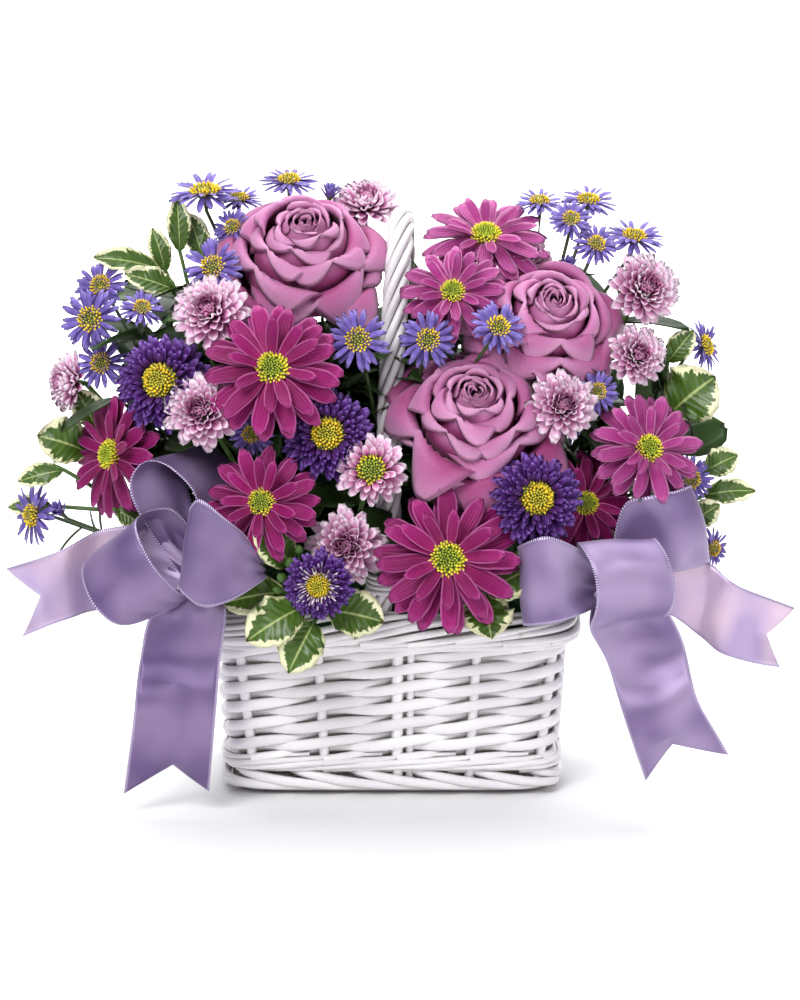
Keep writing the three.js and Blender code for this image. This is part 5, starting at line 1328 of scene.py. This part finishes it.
# Each strip runs through stations: the picture places of its two edges and y, or a y for each edge.
# A tail's last station ends with the picture place of its notch.
BOWS = [
    ("bow_left", (196, 582, -76), [
        ("side_tail", [(190, 560, 186, 600, -74), (150, 528, 150, 606, -70), (100, 530, 104, 610, -62),
                       (62, 550, 66, 619, -74), (7, 568, 20, 638, -62, 40, 596)]),
        ("hanging_tail", [(176, 590, 216, 590, -78), (150, 616, 226, 612, -84), (140, 660, 221, 656, -78),
                          (134, 713, 216, 712, -88), (124, 792, 209, 792, -80, 173, 764)]),
        ("lower_loop", [(188, 600, 196, 590, -78), (128, 626, 180, 594, -93), (96, 609, 151, 561, -98),
                        (83, 576, 137, 526, -88), (92, 560, 147, 511, -76), (120, 554, 172, 508, -68),
                        (160, 570, 192, 532, -68), (190, 590, 198, 575, -74)]),
        ("upper_loop", [(186, 582, 200, 575, -74), (146, 524, 190, 494, (-72, -56)),
                        (131, 489, 176, 460, (-74, -50)), (138, 468, 184, 444, (-72, -46)),
                        (152, 461, 200, 440, (-70, -45)), (172, 468, 220, 450, (-72, -47)),
                        (196, 494, 236, 476, (-76, -54)), (202, 540, 220, 524, (-78, -64)),
                        (196, 580, 206, 576, -80)]),
        ("front_loop", [(214, 572, 222, 590, -76), (214, 520, 216, 590, -84), (198, 503, 190, 586, -90),
                        (189, 510, 177, 588, -97), (200, 499, 200, 607, -104), (226, 519, 228, 602, -104),
                        (248, 538, 257, 584, -95), (262, 560, 266, 577, -86)]),
    ]),
    ("bow_right", (606, 592, -80), [
        ("side_tail", [(620, 580, 622, 606, -78), (664, 556, 664, 612, -72), (708, 562, 697, 634, -62),
                       (739, 586, 722, 654, -70), (794, 607, 781, 668, -58, 765, 633)]),
        ("hanging_tail", [(592, 606, 650, 600, -82), (590, 630, 668, 612, -88), (606, 660, 684, 644, -80),
                          (624, 718, 698, 700, -90), (646, 782, 728, 753, -84, 673, 745)]),
        ("left_loop", [(602, 580, 602, 600, -80), (582, 552, 588, 611, -92), (550, 537, 560, 622, -101),
                       (524, 543, 532, 626, -97), (516, 548, 524, 624, -86), (540, 548, 545, 616, -76),
                       (602, 580, 604, 600, -76)]),
        ("front_loop", [(600, 602, 640, 598, -74), (582, 562, 655, 554, -78), (577, 542, 655, 537, -90),
                        (589, 560, 668, 556, -102), (596, 584, 675, 582, -107), (596, 606, 675, 602, -104),
                        (590, 628, 666, 614, -93), (600, 622, 655, 610, -84), (606, 604, 640, 602, -78)]),
        ("upper_loop", [(606, 580, 616, 592, -76), (622, 508, 644, 584, -70), (650, 496, 668, 574, -75),
                        (676, 491, 694, 568, -72), (693, 485, 710, 562, -62), (680, 492, 700, 562, -52),
                        (640, 520, 660, 575, -56), (610, 576, 622, 590, -70)]),
    ]),
]


def satin(name, violet, grey):
    """Lavender polyester satin: floats of bright yarn along the ribbon, a corded selvedge at each edge, and
    patches of painted sheen.
    """
    skin = Finish(name)
    across, along = skin.shares()
    edge = skin.math("SUBTRACT", 0.5, skin.math("ABSOLUTE", skin.math("SUBTRACT", across, 0.5)))
    # a corded selvedge 1.1 mm wide, bound by a stitch about every millimetre
    stitch = skin.math("GREATER_THAN", skin.math("SINE", skin.math("MULTIPLY", along, 620.0)), 0.1)
    corded = skin.mix(stitch, "#DCCDE8", "#5B4383")
    # painted sheen: in patches of 20 to 30 mm the satin turns from violet to a pinkish grey, as where its
    # floats lie to the light
    body = skin.mix(skin.span(skin.noise(34.0, 1.0), 0.36, 0.64), violet, grey)
    colour = skin.mix(skin.span(edge, 0.024, 0.032, 1.0, 0.0), body, corded)
    # yarns lie along the ribbon every 0.4 mm
    lie = skin.three(skin.math("MULTIPLY", across, 90.0), skin.math("MULTIPLY", along, 9.0))
    yarns = skin.noise(1.0, 2.0, lie)
    more = {"Metallic": 0.3, "Anisotropic": 0.5, "Specular IOR Level": 0.6, "Sheen Weight": 0.25}
    return skin.finished(colour, 0.46, (yarns, 0.08, 0.0003), {**more, "Sheen Roughness": 0.3})


SATIN = satin("lavender satin", "#7A6492", "#A08CB2")
# the same satin painted darker for the left bow, which lies in shade, and paler for the side tails, where the
# light falls
SHADED_SATIN = satin("lavender satin, deep face", "#665080", "#88729A")
LIT_SATIN = satin("lavender satin, pale face", "#B09AC2", "#D8BED4")
SATIN_BY_LIGHT = {"bow_left": SHADED_SATIN, "bow_right": SATIN}


def ribbon(name, stations, loop, seed):
    """A strip of ribbon through its stations, and its one-side area in m2. Folds gathered at the knot
    run out along it; a tail is cut to a notch."""
    v, u = grid(54 if loop else 46, 14)
    edges = []
    for k in (0, 1):
        line = [seen_at(*s[2 * k : 2 * k + 2], np.broadcast_to(s[4], 2)[k]) for s in stations]
        edges.append(even(smooth_path(line, 16), len(v))[0])
    left, right = edges
    sheet = left[:, None] + (right - left)[:, None] * ((u + 1) / 2)[..., None]
    end = stations[-1]
    if len(end) > 5:
        pull = np.clip((v - 0.8) / 0.2, 0, 1) * (1 - np.abs(u))
        sheet = sheet + pull[..., None] * (seen_at(*end[5:7], end[4]) - (left[-1] + right[-1]) / 2)
    normal = unit(np.cross(right - left, np.gradient((left + right) / 2, axis=0)))
    width = np.linalg.norm(right - left, axis=1)[:, None]
    near = np.exp(-((v / 0.16) ** 2)) + (np.exp(-(((1 - v) / 0.14) ** 2)) if loop else 0)
    a, b = np.random.default_rng(seed).uniform(0, 6.3, 2)
    full = np.clip(width / 30, 0.2, 1)
    push = near * 2.4 * np.cos(2.6 * np.pi * u + a) * full
    push = push + (0.8 if loop else 1.7) * np.sin(1.3 * u + (7 if loop else 13) * v + b) * full * v**0.5
    push = push + 0.7 * np.sin(2.9 * u - 9 * v + a) * full
    push = push + (0.9 if loop else 1.2) * (1 - u**2) * np.sin(np.pi * np.clip(v * 1.2, 0, 1))
    sheet = sheet + push[..., None] * normal[:, None]
    across, back = sheet[1:, 1:] - sheet[:-1, :-1], sheet[:-1, 1:] - sheet[1:, :-1]
    area = float(np.linalg.norm(np.cross(across, back), axis=2).sum() / 2)
    face = unit(np.cross(np.gradient(sheet, axis=1), np.gradient(sheet, axis=0))) * 0.14
    points = np.concatenate([(sheet + face).reshape(-1, 3), (sheet - face).reshape(-1, 3)])
    at = np.arange(u.size).reshape(u.shape)
    rim = np.concatenate([at[:-1, 0], at[-1, :-1], at[:0:-1, -1], at[0, :0:-1]])
    after = np.roll(rim, -1)
    walls = np.stack([rim, after, after + u.size, rim + u.size], 1)
    faces = np.concatenate([quads(at, turned=True), quads(at) + u.size, walls])
    shares = np.stack([(u.ravel() + 1) / 2, v.ravel()], 1)
    return sheet_mesh(name, points, faces, np.tile(shares, (2, 1))), area / 1e6


for bow, knot, strips in BOWS:
    for m, (kind, stations) in enumerate(strips):
        mesh, area = ribbon(f"{bow}_{kind}", stations, kind.endswith("loop"), 5 * m + len(bow))
        # the side tails take the satin with painted light, the left bow the satin with painted shade
        mesh.materials.append(LIT_SATIN if kind == "side_tail" else SATIN_BY_LIGHT[bow])
        piece = add_piece(f"{bow}_{kind}", mesh, "satin_ribbon", bow)
    centre = seen_at(*knot)
    wraps = []
    for turn in range(5):
        t = np.linspace(0, 2 * math.pi, 33)[:-1]
        x = np.cos(t) * 6.0 * math.cos(0.5 * turn) + (turn - 2) * 0.6
        z = np.cos(t) * 6.0 * math.sin(0.5 * turn + 0.4) + np.sin(t) * 2.0
        wraps.append((centre + np.stack([x, -np.sin(t) * 5.0, z], 1), 2.0, True))
    add_piece(f"{bow}_knot", rods(wraps, 8, SATIN_BY_LIGHT[bow]), "satin_ribbon")
    pick = smooth_path([centre + [0, 4.0, 0], foam_seat(centre, (0, 0, 8))], 4)
    add_piece(f"{bow}_pick", rods([(pick, 1.3, False)], 8, GREEN_STEM), "green_stem")
